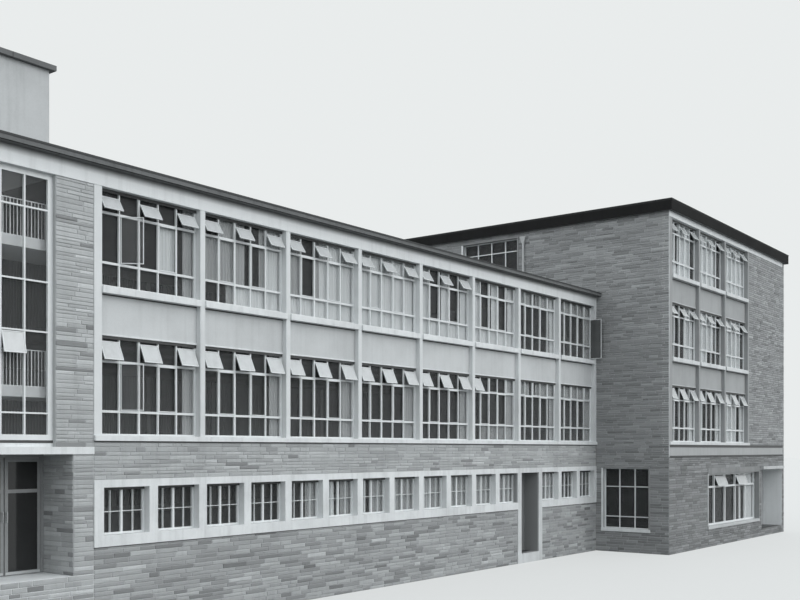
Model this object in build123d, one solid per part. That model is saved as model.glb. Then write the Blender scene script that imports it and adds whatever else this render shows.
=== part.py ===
"""School building of the 1950s, as a model at half its real size (1:2), in millimetres.

A three-storey classroom block with a stair bay at its left end meets a four-storey wing
that stands forward at its right end. X runs along the front, Y into the building, Z up.
"""
from build123d import *
import os

# Storeys and walls
BAY = 1535
BAYS = 8
STOREY = 1675
GROUND_FLOOR = 175
SLAB = 150
WALL = 150
MAIN_DEPTH = 5000
MAIN_STOREYS = 3

# Facade rows, measured from each floor's top
SILL_UP = 350
SILL_HIGH = 85
SILL_COURSE_HIGH = 60
SILL_SLOPE = 0.07
THROAT_IN = 10
THROAT_WIDE = 8
THROAT_DEEP = 5
HEAD_UP = 1550
LOW_RAIL_UP = 277
HIGH_RAIL_UP = 850

# Facade layers, measured inward from the stone face
POST_FACE = -10
POST_WIDE = 80
FIRST_POST_WIDE = 105
SILL_NOSE = -35
PANEL_FACE = 60
STEEL_FACE = 80
STEEL_DEEP = 30
STEEL_EDGE = 22
STEEL_BAR = 18
TRANSOM = 28
GLASS = 6
CUT = 1

# Ground-floor window band
BAND_SILL_LOW = 1000
BAND_SILL = 1128
BAND_HEAD = 1670
BAND_TOP = 1758
BAND_FACE = -15
LIGHTS_PER_BAY = 2
LIGHT_POST = 125
LIGHT_STEEL = 90
LIGHT_MULLION = 30

# Roof edges
BEAM_HIGH = 205
DECK = 65
MAIN_EDGE_HIGH = 78
MAIN_EAVE = 125
EDGE_THICK = 25
EDGE_SET_BACK = 6
CAPPING_HIGH = 25
WING_BEAM_HIGH = 110
WING_EDGE_HIGH = 225
WING_EAVE = 100

# Side doorway, in place of one ground-floor window
DOORWAY_INDEX = 12
DOORWAY_DEEP = 350
DOOR_WIDE = 477
DOOR_HIGH = 1040
DOOR_THICK = 22
DOOR_STILE = 55
DOOR_GAP = 6
DOOR_PANEL_IN = 7
FRAME_DEEP = 40

# Stair bay and porch
STAIR_WIDE = 2765
STAIR_PIER = 490
STAIR_RAIL_UP = (290, 1165, 1705, 2480)
STAIR_PANES = 6
STAIR_STEEL_EDGE = 60
LANDING_UP = (2775, 4375)
LANDING_THICK = 110
LANDING_DEEP = 800
GUARD_HIGH = 400
GUARD_BARS = 30
GUARD_BAR = 10
HALL_FLOOR = 710
PORCH_DEEP = 550
PORCH_PIER = 265
PORCH_HEAD = 2050
PORCH_LINTEL_HIGH = 80
PORCH_LIGHT = 465
PORCH_LIGHTS = 4
PORCH_POST = 40
PORCH_DOOR_RAIL = 1640

# Tank room on the roof
TANK_DEEP = 2000
TANK_BACK = 850
TANK_HIGH = 1190
TANK_WALL = 100
TANK_ROOF = 60
TANK_EAVE = 60

# Wing
WING_OUT = 1595
WING_WIDE = 7400
WING_BACK = 6000
WING_STOREYS = 4
WING_BAYS = 3
CORNER_POST = 150
WING_BEAM_LOW = 1950
SIDE_WINDOW = (-1170, -160)
SIDE_WINDOW_ROWS = (480, 1725)
SIDE_WINDOW_RAILS = (725, 1340)
SIDE_WINDOW_PANES = 3
SIDE_TOP_WINDOW = (1890, 3330)
SIDE_TOP_PANES = 4
SCREEN_START = 2110
SCREEN_PIER = 220
SCREEN_ROWS = (440, 1575)
SCREEN_LIGHTS = 5
SCREEN_RAIL = 1280
SCREEN_SET_BACK = 100
ENTRANCE_WIDE = 1600
ENTRANCE_HEAD = 1695
CANOPY_OUT = 60
CANOPY_THICK = 75
ENTRANCE_DEEP = 465
ENTRANCE_DOOR_WIDE = 900
ENTRANCE_DOOR_HIGH = 1060
ENTRANCE_DOOR_RAIL = 477
ENTRANCE_PANEL_IN = 11

# Rainwater pipe on the wing's side
PIPE_R = 25
PIPE_Y = 1725
PIPE_GAP = 12
HOPPER_HIGH = 150
HOPPER_WIDE = 150
EAR_SHARES = (0.25, 0.6)
EAR_WIDE = 75
EAR_HIGH = 25

# Hinges
KNUCKLE_R = 9
KNUCKLE_HIGH = 40
KNUCKLE_GAP = 0.3
STRAP_LONG = 36
STRAP_THICK = 3
HINGE_IN = 120

# Places that follow from the sizes above
STAIR_RIGHT = POST_WIDE / 2 - FIRST_POST_WIDE
LEFT = STAIR_RIGHT - STAIR_WIDE
WING_LEFT = BAYS * BAY + POST_WIDE / 2
WING_RIGHT = WING_LEFT + WING_WIDE
MAIN_ROOF = GROUND_FLOOR + (MAIN_STOREYS - 1) * STOREY + HEAD_UP + BEAM_HIGH
WING_ROOF = GROUND_FLOOR + (WING_STOREYS - 1) * STOREY + HEAD_UP + WING_BEAM_HIGH
LIGHT_PITCH = BAY / LIGHTS_PER_BAY
MAIN_FRONT = (0, 1)
MAIN_REAR = (MAIN_DEPTH, -1)
WING_FRONT = (-WING_OUT, 1)
WING_REAR = (WING_BACK, -1)


def block(x, y, z):
    """A plain block between three pairs of limits."""
    size = [abs(high - low) for low, high in (x, y, z)]
    middle = [(low + high) / 2 for low, high in (x, y, z)]
    return Pos(*middle) * Box(*size)


def layer(face, near, far):
    """The Y limits of a layer between two depths behind an outer face."""
    plane, inward = face
    return tuple(sorted((plane + inward * near, plane + inward * far)))


def floor_level(storey):
    return GROUND_FLOOR + storey * STOREY


def sill_top(storey):
    """Level of the windows' foot: the first floor's sill course is thinner than the rest."""
    return floor_level(storey) + SILL_UP + (SILL_COURSE_HIGH if storey == 1 else SILL_HIGH)


def lattice(x, y, z, uprights, rails, edge, bar):
    """A flat frame in the XZ plane with bars at the given centre lines."""
    across = [x[0] + edge, *(v + s * bar / 2 for v in uprights for s in (-1, 1)), x[1] - edge]
    up = [z[0] + edge, *(v + s * bar / 2 for v in rails for s in (-1, 1)), z[1] - edge]
    holes = [
        block(across[i:i + 2], (y[0] - CUT, y[1] + CUT), up[j:j + 2])
        for i in range(0, len(across), 2) for j in range(0, len(up), 2)
    ]
    return block(x, y, z) - holes


def glass_behind(x, frame_y, z, inward, edge):
    """A sheet of glass against the inner side of a frame."""
    start = frame_y[1] if inward > 0 else frame_y[0]
    y = tuple(sorted((start, start + inward * GLASS)))
    return block((x[0] + edge / 2, x[1] - edge / 2), y, (z[0] + edge / 2, z[1] - edge / 2))


def main_bays():
    """X limits of the classroom bays, between the posts."""
    return [(k * BAY + POST_WIDE / 2, (k + 1) * BAY - POST_WIDE / 2) for k in range(BAYS)]


def wing_bays():
    """X limits of the wing's window bays, from the corner post on."""
    first = WING_LEFT + CORNER_POST
    start = WING_LEFT + CORNER_POST / 2
    posts = [start + (k + 1) * BAY for k in range(WING_BAYS)]
    lefts = [first, *(x + POST_WIDE / 2 for x in posts[:-1])]
    return [(low, x - POST_WIDE / 2) for low, x in zip(lefts, posts)]


WING_STONE_LEFT = wing_bays()[-1][1] + POST_WIDE


def facades():
    """Each window wall: its face, its bays and its upper storeys."""
    yield MAIN_FRONT, main_bays(), range(1, MAIN_STOREYS)
    yield MAIN_REAR, main_bays(), range(1, MAIN_STOREYS)
    yield WING_FRONT, wing_bays(), range(1, WING_STOREYS)
    yield WING_REAR, wing_bays(), range(1, WING_STOREYS)


def light_edges(k):
    """X limits of one ground-floor window opening."""
    return (k * LIGHT_PITCH + LIGHT_POST / 2, (k + 1) * LIGHT_PITCH - LIGHT_POST / 2)


DOORWAY = (
    light_edges(DOORWAY_INDEX)[0] - LIGHT_POST, light_edges(DOORWAY_INDEX)[1] + LIGHT_POST,
)


def floors():
    """Concrete floors of the classroom block; the lowest lies on the ground."""
    x = (STAIR_RIGHT, WING_LEFT)
    y = (WALL, MAIN_DEPTH - WALL)
    ground = block(x, y, (0, GROUND_FLOOR))
    upper = [block(x, y, (floor_level(k) - SLAB, floor_level(k))) for k in range(1, MAIN_STOREYS)]
    return [ground, *upper]


def main_roof_plan(inset):
    """X and Y limits of the lower roof, at an inset from its eaves."""
    y = (-MAIN_EAVE + inset, MAIN_DEPTH + MAIN_EAVE - inset)
    return (LEFT - MAIN_EAVE + inset, WING_LEFT), y


def roof_deck():
    return block(*main_roof_plan(EDGE_THICK), (MAIN_ROOF, MAIN_ROOF + DECK))


def roof_edge(plan, low, high):
    """Dark metal edge round a deck, its face set back under a capping."""
    face = block(*plan(EDGE_SET_BACK), (low, high - CAPPING_HIGH))
    capping = block(*plan(0), (high - CAPPING_HIGH, high))
    return face + capping - block(*plan(EDGE_THICK), (low - CUT, high + CUT))


def roof_fascia():
    """Roof edge along the front, the left end and the rear."""
    return roof_edge(main_roof_plan, MAIN_ROOF, MAIN_ROOF + MAIN_EDGE_HIGH)


def base_walls():
    """Stone below the ground-floor windows, parted by the side doorway."""
    z = (0, BAND_SILL_LOW)
    front = layer(MAIN_FRONT, 0, WALL)
    return [
        block((STAIR_RIGHT, DOORWAY[0]), front, z),
        block((DOORWAY[1], WING_LEFT), front, z),
        block((STAIR_RIGHT, WING_LEFT), layer(MAIN_REAR, 0, WALL), z),
    ]


def band_walls():
    """Stone between the ground-floor windows and the first-floor sills."""
    z = (BAND_TOP, floor_level(1) + SILL_UP)
    x = (STAIR_RIGHT, WING_LEFT)
    return [block(x, layer(face, 0, WALL), z) for face in (MAIN_FRONT, MAIN_REAR)]


def ground_surround(face, first, last, x):
    """Cast frame round a run of ground-floor openings."""
    solid = block(x, layer(face, BAND_FACE, WALL), (BAND_SILL_LOW, BAND_TOP))
    holes = [
        block(light_edges(k), layer(face, BAND_FACE - CUT, WALL + CUT), (BAND_SILL, BAND_HEAD))
        for k in range(first, last)
    ]
    return solid - holes


def ground_surrounds():
    count = BAYS * LIGHTS_PER_BAY
    return [
        ground_surround(MAIN_FRONT, 0, DOORWAY_INDEX, (STAIR_RIGHT, DOORWAY[0])),
        ground_surround(MAIN_FRONT, DOORWAY_INDEX + 1, count, (DOORWAY[1], WING_LEFT)),
        ground_surround(MAIN_REAR, 0, count, (STAIR_RIGHT, WING_LEFT)),
    ]


def ground_lights():
    """The ground-floor openings that hold windows, front then rear."""
    for k in range(BAYS * LIGHTS_PER_BAY):
        if k != DOORWAY_INDEX:
            yield MAIN_FRONT, light_edges(k)
    for k in range(BAYS * LIGHTS_PER_BAY):
        yield MAIN_REAR, light_edges(k)


def ground_windows():
    """Steel windows with one thick mullion, set in the reveal."""
    return [
        lattice(x, layer(face, LIGHT_STEEL, LIGHT_STEEL + STEEL_DEEP), (BAND_SILL, BAND_HEAD),
                [sum(x) / 2], [], STEEL_EDGE, LIGHT_MULLION)
        for face, x in ground_lights()
    ]


def ground_glass():
    return [
        glass_behind(x, layer(face, LIGHT_STEEL, LIGHT_STEEL + STEEL_DEEP),
                     (BAND_SILL, BAND_HEAD), face[1], STEEL_EDGE)
        for face, x in ground_lights()
    ]


def facade_posts():
    """White posts that stand on the first-floor sills and run up to the beam."""
    solids = []
    for face, bays, storeys in facades():
        z = (sill_top(1), floor_level(storeys[-1]) + HEAD_UP)
        y = layer(face, POST_FACE, WALL)
        rights = [(x[1], x[1] + POST_WIDE) for x in bays]
        if face in (MAIN_FRONT, MAIN_REAR):
            first = (bays[0][0] - FIRST_POST_WIDE, bays[0][0])
        else:
            first = (bays[0][0] - CORNER_POST, bays[0][0])
        solids += [block(x, y, z) for x in (first, *rights)]
    return solids


def sill(face, x, z, weathered_to):
    """A cast sill: its top falls to the nose from a given depth, with a throat underneath."""
    plane, inward = face
    throat = (SILL_NOSE + THROAT_IN, SILL_NOSE + THROAT_IN + THROAT_WIDE)
    outline = [
        (SILL_NOSE, z[0]), (throat[0], z[0]), (throat[0], z[0] + THROAT_DEEP),
        (throat[1], z[0] + THROAT_DEEP), (throat[1], z[0]), (WALL, z[0]), (WALL, z[1]),
        (weathered_to, z[1]), (SILL_NOSE, z[1] - SILL_SLOPE * (weathered_to - SILL_NOSE)),
    ]
    section = Polyline(*((plane + inward * depth, up) for depth, up in outline), close=True)
    return Pos(x[0], 0, 0) * extrude(Plane.YZ * make_face(section), x[1] - x[0], (1, 0, 0))


def window_sills():
    """Sills: one course under the first floor's posts, then one length in each bay."""
    solids = []
    for face, bays, storeys in facades():
        first_z = (floor_level(1) + SILL_UP, sill_top(1))
        left = STAIR_RIGHT if face in (MAIN_FRONT, MAIN_REAR) else WING_LEFT
        right = WING_LEFT if face in (MAIN_FRONT, MAIN_REAR) else WING_STONE_LEFT
        solids.append(sill(face, (left, right), first_z, POST_FACE))
        for storey in storeys[1:]:
            z = (floor_level(storey) + SILL_UP, sill_top(storey))
            solids += [sill(face, x, z, STEEL_FACE) for x in bays]
    return solids


def spandrel_panels():
    """Smooth panels between the rows of windows."""
    solids = []
    for face, bays, storeys in facades():
        for storey in storeys[1:]:
            z = (floor_level(storey - 1) + HEAD_UP, floor_level(storey) + SILL_UP)
            solids += [block(x, layer(face, PANEL_FACE, WALL), z) for x in bays]
    return solids


def edge_beams():
    """White beams under the roofs and under the wing's first floor."""
    main_x = (LEFT + WALL, WING_LEFT)
    wing_x = (WING_LEFT, WING_RIGHT - WALL)
    main_z = (MAIN_ROOF - BEAM_HIGH, MAIN_ROOF)
    wing_z = (WING_ROOF - WING_BEAM_HIGH, WING_ROOF)
    low_z = (WING_BEAM_LOW, floor_level(1) + SILL_UP)
    solids = [block(main_x, layer(f, BAND_FACE, WALL), main_z) for f in (MAIN_FRONT, MAIN_REAR)]
    solids += [block(wing_x, layer(f, BAND_FACE, WALL), wing_z) for f in (WING_FRONT, WING_REAR)]
    solids += [block(wing_x, layer(f, BAND_FACE, WALL), low_z) for f in (WING_FRONT, WING_REAR)]
    return solids


def row_windows(storey):
    """Steel window frames of one upper storey, with their two transoms."""
    z = (sill_top(storey), floor_level(storey) + HEAD_UP)
    rails = [z[0] + LOW_RAIL_UP, z[0] + HIGH_RAIL_UP]
    solids = []
    for face, bays, storeys in facades():
        if storey in storeys:
            y = layer(face, STEEL_FACE, STEEL_FACE + STEEL_DEEP)
            solids += [lattice(x, y, z, [], rails, STEEL_EDGE, TRANSOM) for x in bays]
    return solids


def window_glass():
    """One sheet of glass behind each window frame of the window walls."""
    solids = ground_glass()
    for face, bays, storeys in facades():
        y = layer(face, STEEL_FACE, STEEL_FACE + STEEL_DEEP)
        for storey in storeys:
            z = (sill_top(storey), floor_level(storey) + HEAD_UP)
            solids += [glass_behind(x, y, z, face[1], STEEL_EDGE) for x in bays]
    return solids


# Side doorway
DOORWAY_INNER = light_edges(DOORWAY_INDEX)
SIDE_DOOR_LEFT = (sum(DOORWAY_INNER) - DOOR_WIDE) / 2
SIDE_DOOR_HINGE = (SIDE_DOOR_LEFT, DOORWAY_DEEP + KNUCKLE_R)
SIDE_DOOR_Z = (GROUND_FLOOR + DOOR_GAP, GROUND_FLOOR + DOOR_HIGH)


def knuckles(z):
    """Levels of a leaf's two knuckles, each on top of one on the frame."""
    return (z[0] + HINGE_IN, z[1] - HINGE_IN - KNUCKLE_HIGH)


def hinge_half(low, side):
    """One half of a hinge at the origin: a knuckle with its strap to one side."""
    barrel = Pos(0, 0, low + KNUCKLE_HIGH / 2) * Cylinder(KNUCKLE_R, KNUCKLE_HIGH)
    x = tuple(sorted((0, side * STRAP_LONG)))
    strap = block(x, (-KNUCKLE_R, -KNUCKLE_R + STRAP_THICK), (low, low + KNUCKLE_HIGH))
    return barrel + strap


def leaf(width, z, rail, stile):
    """A leaf hinged at the origin on its left edge, its inner face at -Y of the pin."""
    x = (DOOR_GAP, width - DOOR_GAP)
    y = (-KNUCKLE_R - DOOR_THICK, -KNUCKLE_R)
    body = lattice(x, y, z, [], [rail], stile, stile)
    panel_y = (y[0] + DOOR_PANEL_IN, y[1] - DOOR_PANEL_IN)
    panel_x = (x[0] + stile / 2, x[1] - stile / 2)
    body = body + block(panel_x, panel_y, (z[0] + stile / 2, z[1] - stile / 2))
    for low in knuckles(z):
        body = body + hinge_half(low, 1)
    return body


def frame_hinges(z):
    """The halves of a door's hinges that the frame carries."""
    return [hinge_half(low - KNUCKLE_GAP - KNUCKLE_HIGH, -1) for low in knuckles(z)]


def doorway_lining():
    """White lining of the side doorway, with the door frame at its back."""
    lining = block(DOORWAY, (BAND_FACE, WALL), (0, BAND_TOP))
    lining += block(DOORWAY, (WALL, DOORWAY_DEEP), (GROUND_FLOOR, floor_level(1) - SLAB))
    back = DOORWAY_DEEP - FRAME_DEEP
    lining -= block(DOORWAY_INNER, (BAND_FACE - CUT, back), (GROUND_FLOOR, BAND_HEAD))
    door_x = (SIDE_DOOR_LEFT, SIDE_DOOR_LEFT + DOOR_WIDE)
    door_y = (back - CUT, DOORWAY_DEEP + CUT)
    lining -= block(door_x, door_y, (GROUND_FLOOR, SIDE_DOOR_Z[1] + DOOR_GAP))
    for half in frame_hinges(SIDE_DOOR_Z):
        lining += Pos(*SIDE_DOOR_HINGE, 0) * half
    return lining


def side_door():
    """The side door, which opens into the building."""
    rail = SIDE_DOOR_Z[0] + DOOR_HIGH / 2
    return Pos(*SIDE_DOOR_HINGE, 0) * leaf(DOOR_WIDE, SIDE_DOOR_Z, rail, DOOR_STILE)


# Stair bay
STAIR_SILL = floor_level(1) + SILL_UP
STAIR_HEAD = MAIN_ROOF - BEAM_HIGH
STAIR_WINDOW_X = (LEFT + STAIR_PIER, STAIR_RIGHT - STAIR_PIER)
PORCH_X = (STAIR_RIGHT - PORCH_PIER - PORCH_LIGHTS * PORCH_LIGHT - 2 * PORCH_POST,
           STAIR_RIGHT - PORCH_PIER)
PORCH_LINTEL_TOP = PORCH_HEAD + PORCH_LINTEL_HIGH


def stair_piers():
    """Stone piers each side of the stair window, up to the eave beam."""
    y = layer(MAIN_FRONT, 0, WALL)
    z = (PORCH_LINTEL_TOP, STAIR_HEAD)
    return [
        block((LEFT + WALL, STAIR_WINDOW_X[0]), y, z),
        block((STAIR_WINDOW_X[1], STAIR_RIGHT), y, z),
    ]


def left_end_wall():
    return block((LEFT, LEFT + WALL), (0, MAIN_DEPTH), (0, MAIN_ROOF))


def stair_rear_wall():
    x = (LEFT + WALL, STAIR_RIGHT)
    return block(x, layer(MAIN_REAR, 0, WALL), (0, STAIR_HEAD))


def stair_window():
    """Tall window of the stair: mullions at even spacing and four transoms."""
    x = STAIR_WINDOW_X
    pitch = (x[1] - x[0] - 2 * STAIR_STEEL_EDGE) / STAIR_PANES
    uprights = [x[0] + STAIR_STEEL_EDGE + pitch * k for k in range(1, STAIR_PANES)]
    rails = [STAIR_SILL + up for up in STAIR_RAIL_UP]
    y = layer(MAIN_FRONT, STEEL_FACE - STEEL_DEEP, STEEL_FACE)
    return lattice(x, y, (STAIR_SILL, STAIR_HEAD), uprights, rails, STAIR_STEEL_EDGE, STEEL_BAR)


def stair_glass():
    """Glass of the stair window and of the porch's fixed lights."""
    y = layer(MAIN_FRONT, STEEL_FACE - STEEL_DEEP, STEEL_FACE)
    upper = glass_behind(STAIR_WINDOW_X, y, (STAIR_SILL, STAIR_HEAD), 1, STAIR_STEEL_EDGE)
    porch_x = (PORCH_X[0], PORCH_PAIR[0])
    lower = glass_behind(porch_x, PORCH_Y, (HALL_FLOOR, PORCH_HEAD), 1, PORCH_POST)
    return [upper, lower]


def stair_landings():
    """Half landings behind the stair window, held by the piers and the end wall."""
    x = (LEFT + WALL, STAIR_RIGHT)
    y = (WALL, WALL + LANDING_DEEP)
    return [block(x, y, (top - LANDING_THICK, top)) for top in LANDING_UP]


def landing_balustrades():
    """Upright bars between two rails along the landings' window edge."""
    x = (LEFT + WALL, STAIR_RIGHT)
    pitch = (x[1] - x[0]) / (GUARD_BARS + 1)
    bars = [x[0] + pitch * k for k in range(1, GUARD_BARS + 1)]
    y = (WALL + GUARD_BAR, WALL + 2 * GUARD_BAR)
    return [
        lattice(x, y, (top, top + GUARD_HIGH), bars, [], GUARD_BAR, GUARD_BAR)
        for top in LANDING_UP
    ]


def stair_hall_floor():
    """Ground-bearing floor of the stair hall, with the porch floor in front."""
    return block((LEFT + WALL, STAIR_RIGHT), (0, MAIN_DEPTH - WALL), (0, HALL_FLOOR))


def porch_piers():
    y = (0, PORCH_DEEP + PORCH_POST)
    z = (HALL_FLOOR, PORCH_HEAD)
    return [
        block((LEFT + WALL, PORCH_X[0]), y, z),
        block((PORCH_X[1], STAIR_RIGHT), y, z),
    ]


def porch_lintel():
    """White canopy slab over the porch, with the upstand under the stair window."""
    x = (LEFT + WALL, STAIR_RIGHT)
    slab = block(x, (BAND_FACE, PORCH_DEEP + PORCH_POST), (PORCH_HEAD, PORCH_LINTEL_TOP))
    upstand_y = (STEEL_FACE - STEEL_DEEP, WALL)
    return slab + block(STAIR_WINDOW_X, upstand_y, (PORCH_LINTEL_TOP, STAIR_SILL))


PORCH_Y = (PORCH_DEEP, PORCH_DEEP + PORCH_POST)
PORCH_PAIR = (PORCH_X[1] - PORCH_POST - 2 * PORCH_LIGHT + PORCH_POST / 2, PORCH_X[1] - PORCH_POST)
PORCH_DOOR_WIDE = (PORCH_PAIR[1] - PORCH_PAIR[0]) / 2
PORCH_DOOR_Z = (HALL_FLOOR + DOOR_GAP, PORCH_HEAD - PORCH_POST - DOOR_GAP)
PORCH_HINGE_Y = PORCH_DEEP - KNUCKLE_R


def porch_screen():
    """Timber screen at the porch's back: two fixed lights beside the doors."""
    x = PORCH_X
    middle = PORCH_X[1] - PORCH_POST - 2 * PORCH_LIGHT
    screen = lattice(x, PORCH_Y, (HALL_FLOOR, PORCH_HEAD), [middle - PORCH_LIGHT, middle],
                     [], PORCH_POST, PORCH_POST)
    screen -= block(PORCH_PAIR, (PORCH_Y[0] - CUT, PORCH_Y[1] + CUT),
                    (HALL_FLOOR - CUT, PORCH_HEAD - PORCH_POST))
    for half in frame_hinges(PORCH_DOOR_Z):
        screen += Pos(PORCH_PAIR[0], PORCH_HINGE_Y, 0) * mirror(half, Plane.XZ)
        screen += Pos(PORCH_PAIR[1], PORCH_HINGE_Y, 0) * mirror(mirror(half, Plane.XZ), Plane.YZ)
    return screen


def porch_leaf():
    return mirror(leaf(PORCH_DOOR_WIDE, PORCH_DOOR_Z, PORCH_DOOR_RAIL, PORCH_POST), Plane.XZ)


def porch_door_left():
    return Pos(PORCH_PAIR[0], PORCH_HINGE_Y, 0) * porch_leaf()


def porch_door_right():
    return Pos(PORCH_PAIR[1], PORCH_HINGE_Y, 0) * mirror(porch_leaf(), Plane.YZ)


# Tank room
TANK_X = (LEFT, STAIR_RIGHT)
TANK_Y = (TANK_BACK, TANK_BACK + TANK_DEEP)
TANK_Z = (MAIN_ROOF + DECK, MAIN_ROOF + DECK + TANK_HIGH)


def tank_room_walls():
    inner_x = (TANK_X[0] + TANK_WALL, TANK_X[1] - TANK_WALL)
    inner_y = (TANK_Y[0] + TANK_WALL, TANK_Y[1] - TANK_WALL)
    inner_z = (TANK_Z[0] - CUT, TANK_Z[1] + CUT)
    return block(TANK_X, TANK_Y, TANK_Z) - block(inner_x, inner_y, inner_z)


def tank_room_roof():
    x = (TANK_X[0] - TANK_EAVE, TANK_X[1] + TANK_EAVE)
    y = (TANK_Y[0] - TANK_EAVE, TANK_Y[1] + TANK_EAVE)
    return block(x, y, (TANK_Z[1], TANK_Z[1] + TANK_ROOF))


# Wing
WING_Y = (-WING_OUT, WING_BACK)
WING_INNER_X = (WING_LEFT + WALL, WING_RIGHT - WALL)
WING_INNER_Y = (WING_Y[0] + WALL, WING_Y[1] - WALL)
ENTRANCE_X = (WING_INNER_X[1] - ENTRANCE_WIDE, WING_INNER_X[1])
ENTRANCE_BACK = WING_Y[0] + ENTRANCE_DEEP
CANOPY_LOW = ENTRANCE_HEAD - CANOPY_THICK
SCREEN_X = (WING_LEFT + SCREEN_START, ENTRANCE_X[0] - SCREEN_PIER)


def wing_floors():
    ground = block(WING_INNER_X, WING_INNER_Y, (0, GROUND_FLOOR))
    levels = [floor_level(k) for k in range(1, WING_STOREYS)]
    return [ground, *(block(WING_INNER_X, WING_INNER_Y, (z - SLAB, z)) for z in levels)]


def wing_roof_plan(inset):
    """X and Y limits of the wing's roof, at an inset from its eaves."""
    x = (WING_LEFT - WING_EAVE + inset, WING_RIGHT + WING_EAVE - inset)
    return x, (WING_Y[0] - WING_EAVE + inset, WING_Y[1] + WING_EAVE - inset)


def wing_roof_deck():
    return block(*wing_roof_plan(EDGE_THICK), (WING_ROOF, WING_ROOF + DECK))


def wing_roof_fascia():
    return roof_edge(wing_roof_plan, WING_ROOF, WING_ROOF + WING_EDGE_HIGH)


def side_windows():
    """Y and Z limits, number of panes across and rails of the side wall's two windows."""
    top = WING_STOREYS - 1
    top_z = (sill_top(top), floor_level(top) + HEAD_UP)
    top_rails = (top_z[0] + LOW_RAIL_UP, top_z[0] + HIGH_RAIL_UP)
    return [(SIDE_WINDOW, SIDE_WINDOW_ROWS, SIDE_WINDOW_PANES, SIDE_WINDOW_RAILS),
            (SIDE_TOP_WINDOW, top_z, SIDE_TOP_PANES, top_rails)]


def wing_side_wall():
    """Stone side wall beside the classroom block, cut for its two windows."""
    wall = block((WING_LEFT, WING_LEFT + WALL), WING_INNER_Y, (0, WING_ROOF))
    for y, z, panes, rails in side_windows():
        wall -= block((WING_LEFT - CUT, WING_LEFT + WALL + CUT), y, z)
    return wall


def wing_end_wall():
    return block((WING_RIGHT - WALL, WING_RIGHT), WING_Y, (0, WING_ROOF))


def wing_front_wall():
    """Ground-floor stone with the screen and entrance openings, and the stone above."""
    y = layer(WING_FRONT, 0, WALL)
    through = layer(WING_FRONT, -CUT, WALL + CUT)
    low = block((WING_LEFT, WING_INNER_X[1]), y, (0, WING_BEAM_LOW))
    low -= block(SCREEN_X, through, SCREEN_ROWS)
    low -= block(ENTRANCE_X, through, (GROUND_FLOOR, ENTRANCE_HEAD))
    high_z = (floor_level(1) + SILL_UP, WING_ROOF - WING_BEAM_HIGH)
    return [low, block((WING_STONE_LEFT, WING_INNER_X[1]), y, high_z)]


def wing_rear_wall():
    y = layer(WING_REAR, 0, WALL)
    low = block((WING_LEFT, WING_INNER_X[1]), y, (0, WING_BEAM_LOW))
    high_z = (floor_level(1) + SILL_UP, WING_ROOF - WING_BEAM_HIGH)
    return [low, block((WING_STONE_LEFT, WING_INNER_X[1]), y, high_z)]


def turned(solid):
    """A frame made in the XZ plane, turned to stand in the YZ plane at X = 0."""
    return Rot(0, 0, 90) * solid


def wing_side_windows():
    """Frames and glass of the two windows in the side wall."""
    frames = []
    for y, z, panes, rails in side_windows():
        pitch = (y[1] - y[0]) / panes
        uprights = [y[0] + pitch * k for k in range(1, panes)]
        frame = lattice(y, (-STEEL_FACE - STEEL_DEEP, -STEEL_FACE), z, uprights, rails,
                        STEEL_EDGE, STEEL_BAR)
        frames.append(Pos(WING_LEFT, 0, 0) * turned(frame))
    return frames


def wing_glass():
    """Glass of the side windows and of the ground-floor screen."""
    sheets = [glass_behind(SCREEN_X, SCREEN_Y, SCREEN_ROWS, 1, FRAME_DEEP)]
    for y, z, panes, rails in side_windows():
        sheet = glass_behind(y, (-STEEL_FACE - STEEL_DEEP, -STEEL_FACE), z, -1, STEEL_EDGE)
        sheets.append(Pos(WING_LEFT, 0, 0) * turned(sheet))
    return sheets


SCREEN_Y = layer(WING_FRONT, SCREEN_SET_BACK, SCREEN_SET_BACK + FRAME_DEEP)


def wing_screen():
    """Glazed screen of the wing's ground floor: a row of lights with top vents."""
    pitch = (SCREEN_X[1] - SCREEN_X[0]) / SCREEN_LIGHTS
    uprights = [SCREEN_X[0] + pitch * k for k in range(1, SCREEN_LIGHTS)]
    return lattice(SCREEN_X, SCREEN_Y, SCREEN_ROWS, uprights, [SCREEN_RAIL], FRAME_DEEP, FRAME_DEEP)


def wing_entrance():
    """Walls of the wing's entrance recess and the canopy slab that roofs it."""
    back = block((ENTRANCE_X[0] - WALL, ENTRANCE_X[1]), (ENTRANCE_BACK, ENTRANCE_BACK + WALL),
                 (GROUND_FLOOR, ENTRANCE_HEAD))
    side = block((ENTRANCE_X[0] - WALL, ENTRANCE_X[0]), (WING_INNER_Y[0], ENTRANCE_BACK),
                 (GROUND_FLOOR, ENTRANCE_HEAD))
    ceiling = block((ENTRANCE_X[0] - WALL, ENTRANCE_X[1]), (WING_INNER_Y[0], ENTRANCE_BACK + WALL),
                    (ENTRANCE_HEAD, floor_level(1) - SLAB))
    canopy = block(ENTRANCE_X, (WING_Y[0] - CANOPY_OUT, ENTRANCE_BACK), (CANOPY_LOW, ENTRANCE_HEAD))
    return back + side + ceiling + canopy - entrance_door_hole()


def entrance_door_x():
    middle = sum(ENTRANCE_X) / 2
    return (middle - ENTRANCE_DOOR_WIDE / 2, middle + ENTRANCE_DOOR_WIDE / 2)


def entrance_door_hole():
    y = (ENTRANCE_BACK - CUT, ENTRANCE_BACK + WALL + CUT)
    return block(entrance_door_x(), y, (GROUND_FLOOR, GROUND_FLOOR + ENTRANCE_DOOR_HIGH))


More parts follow.
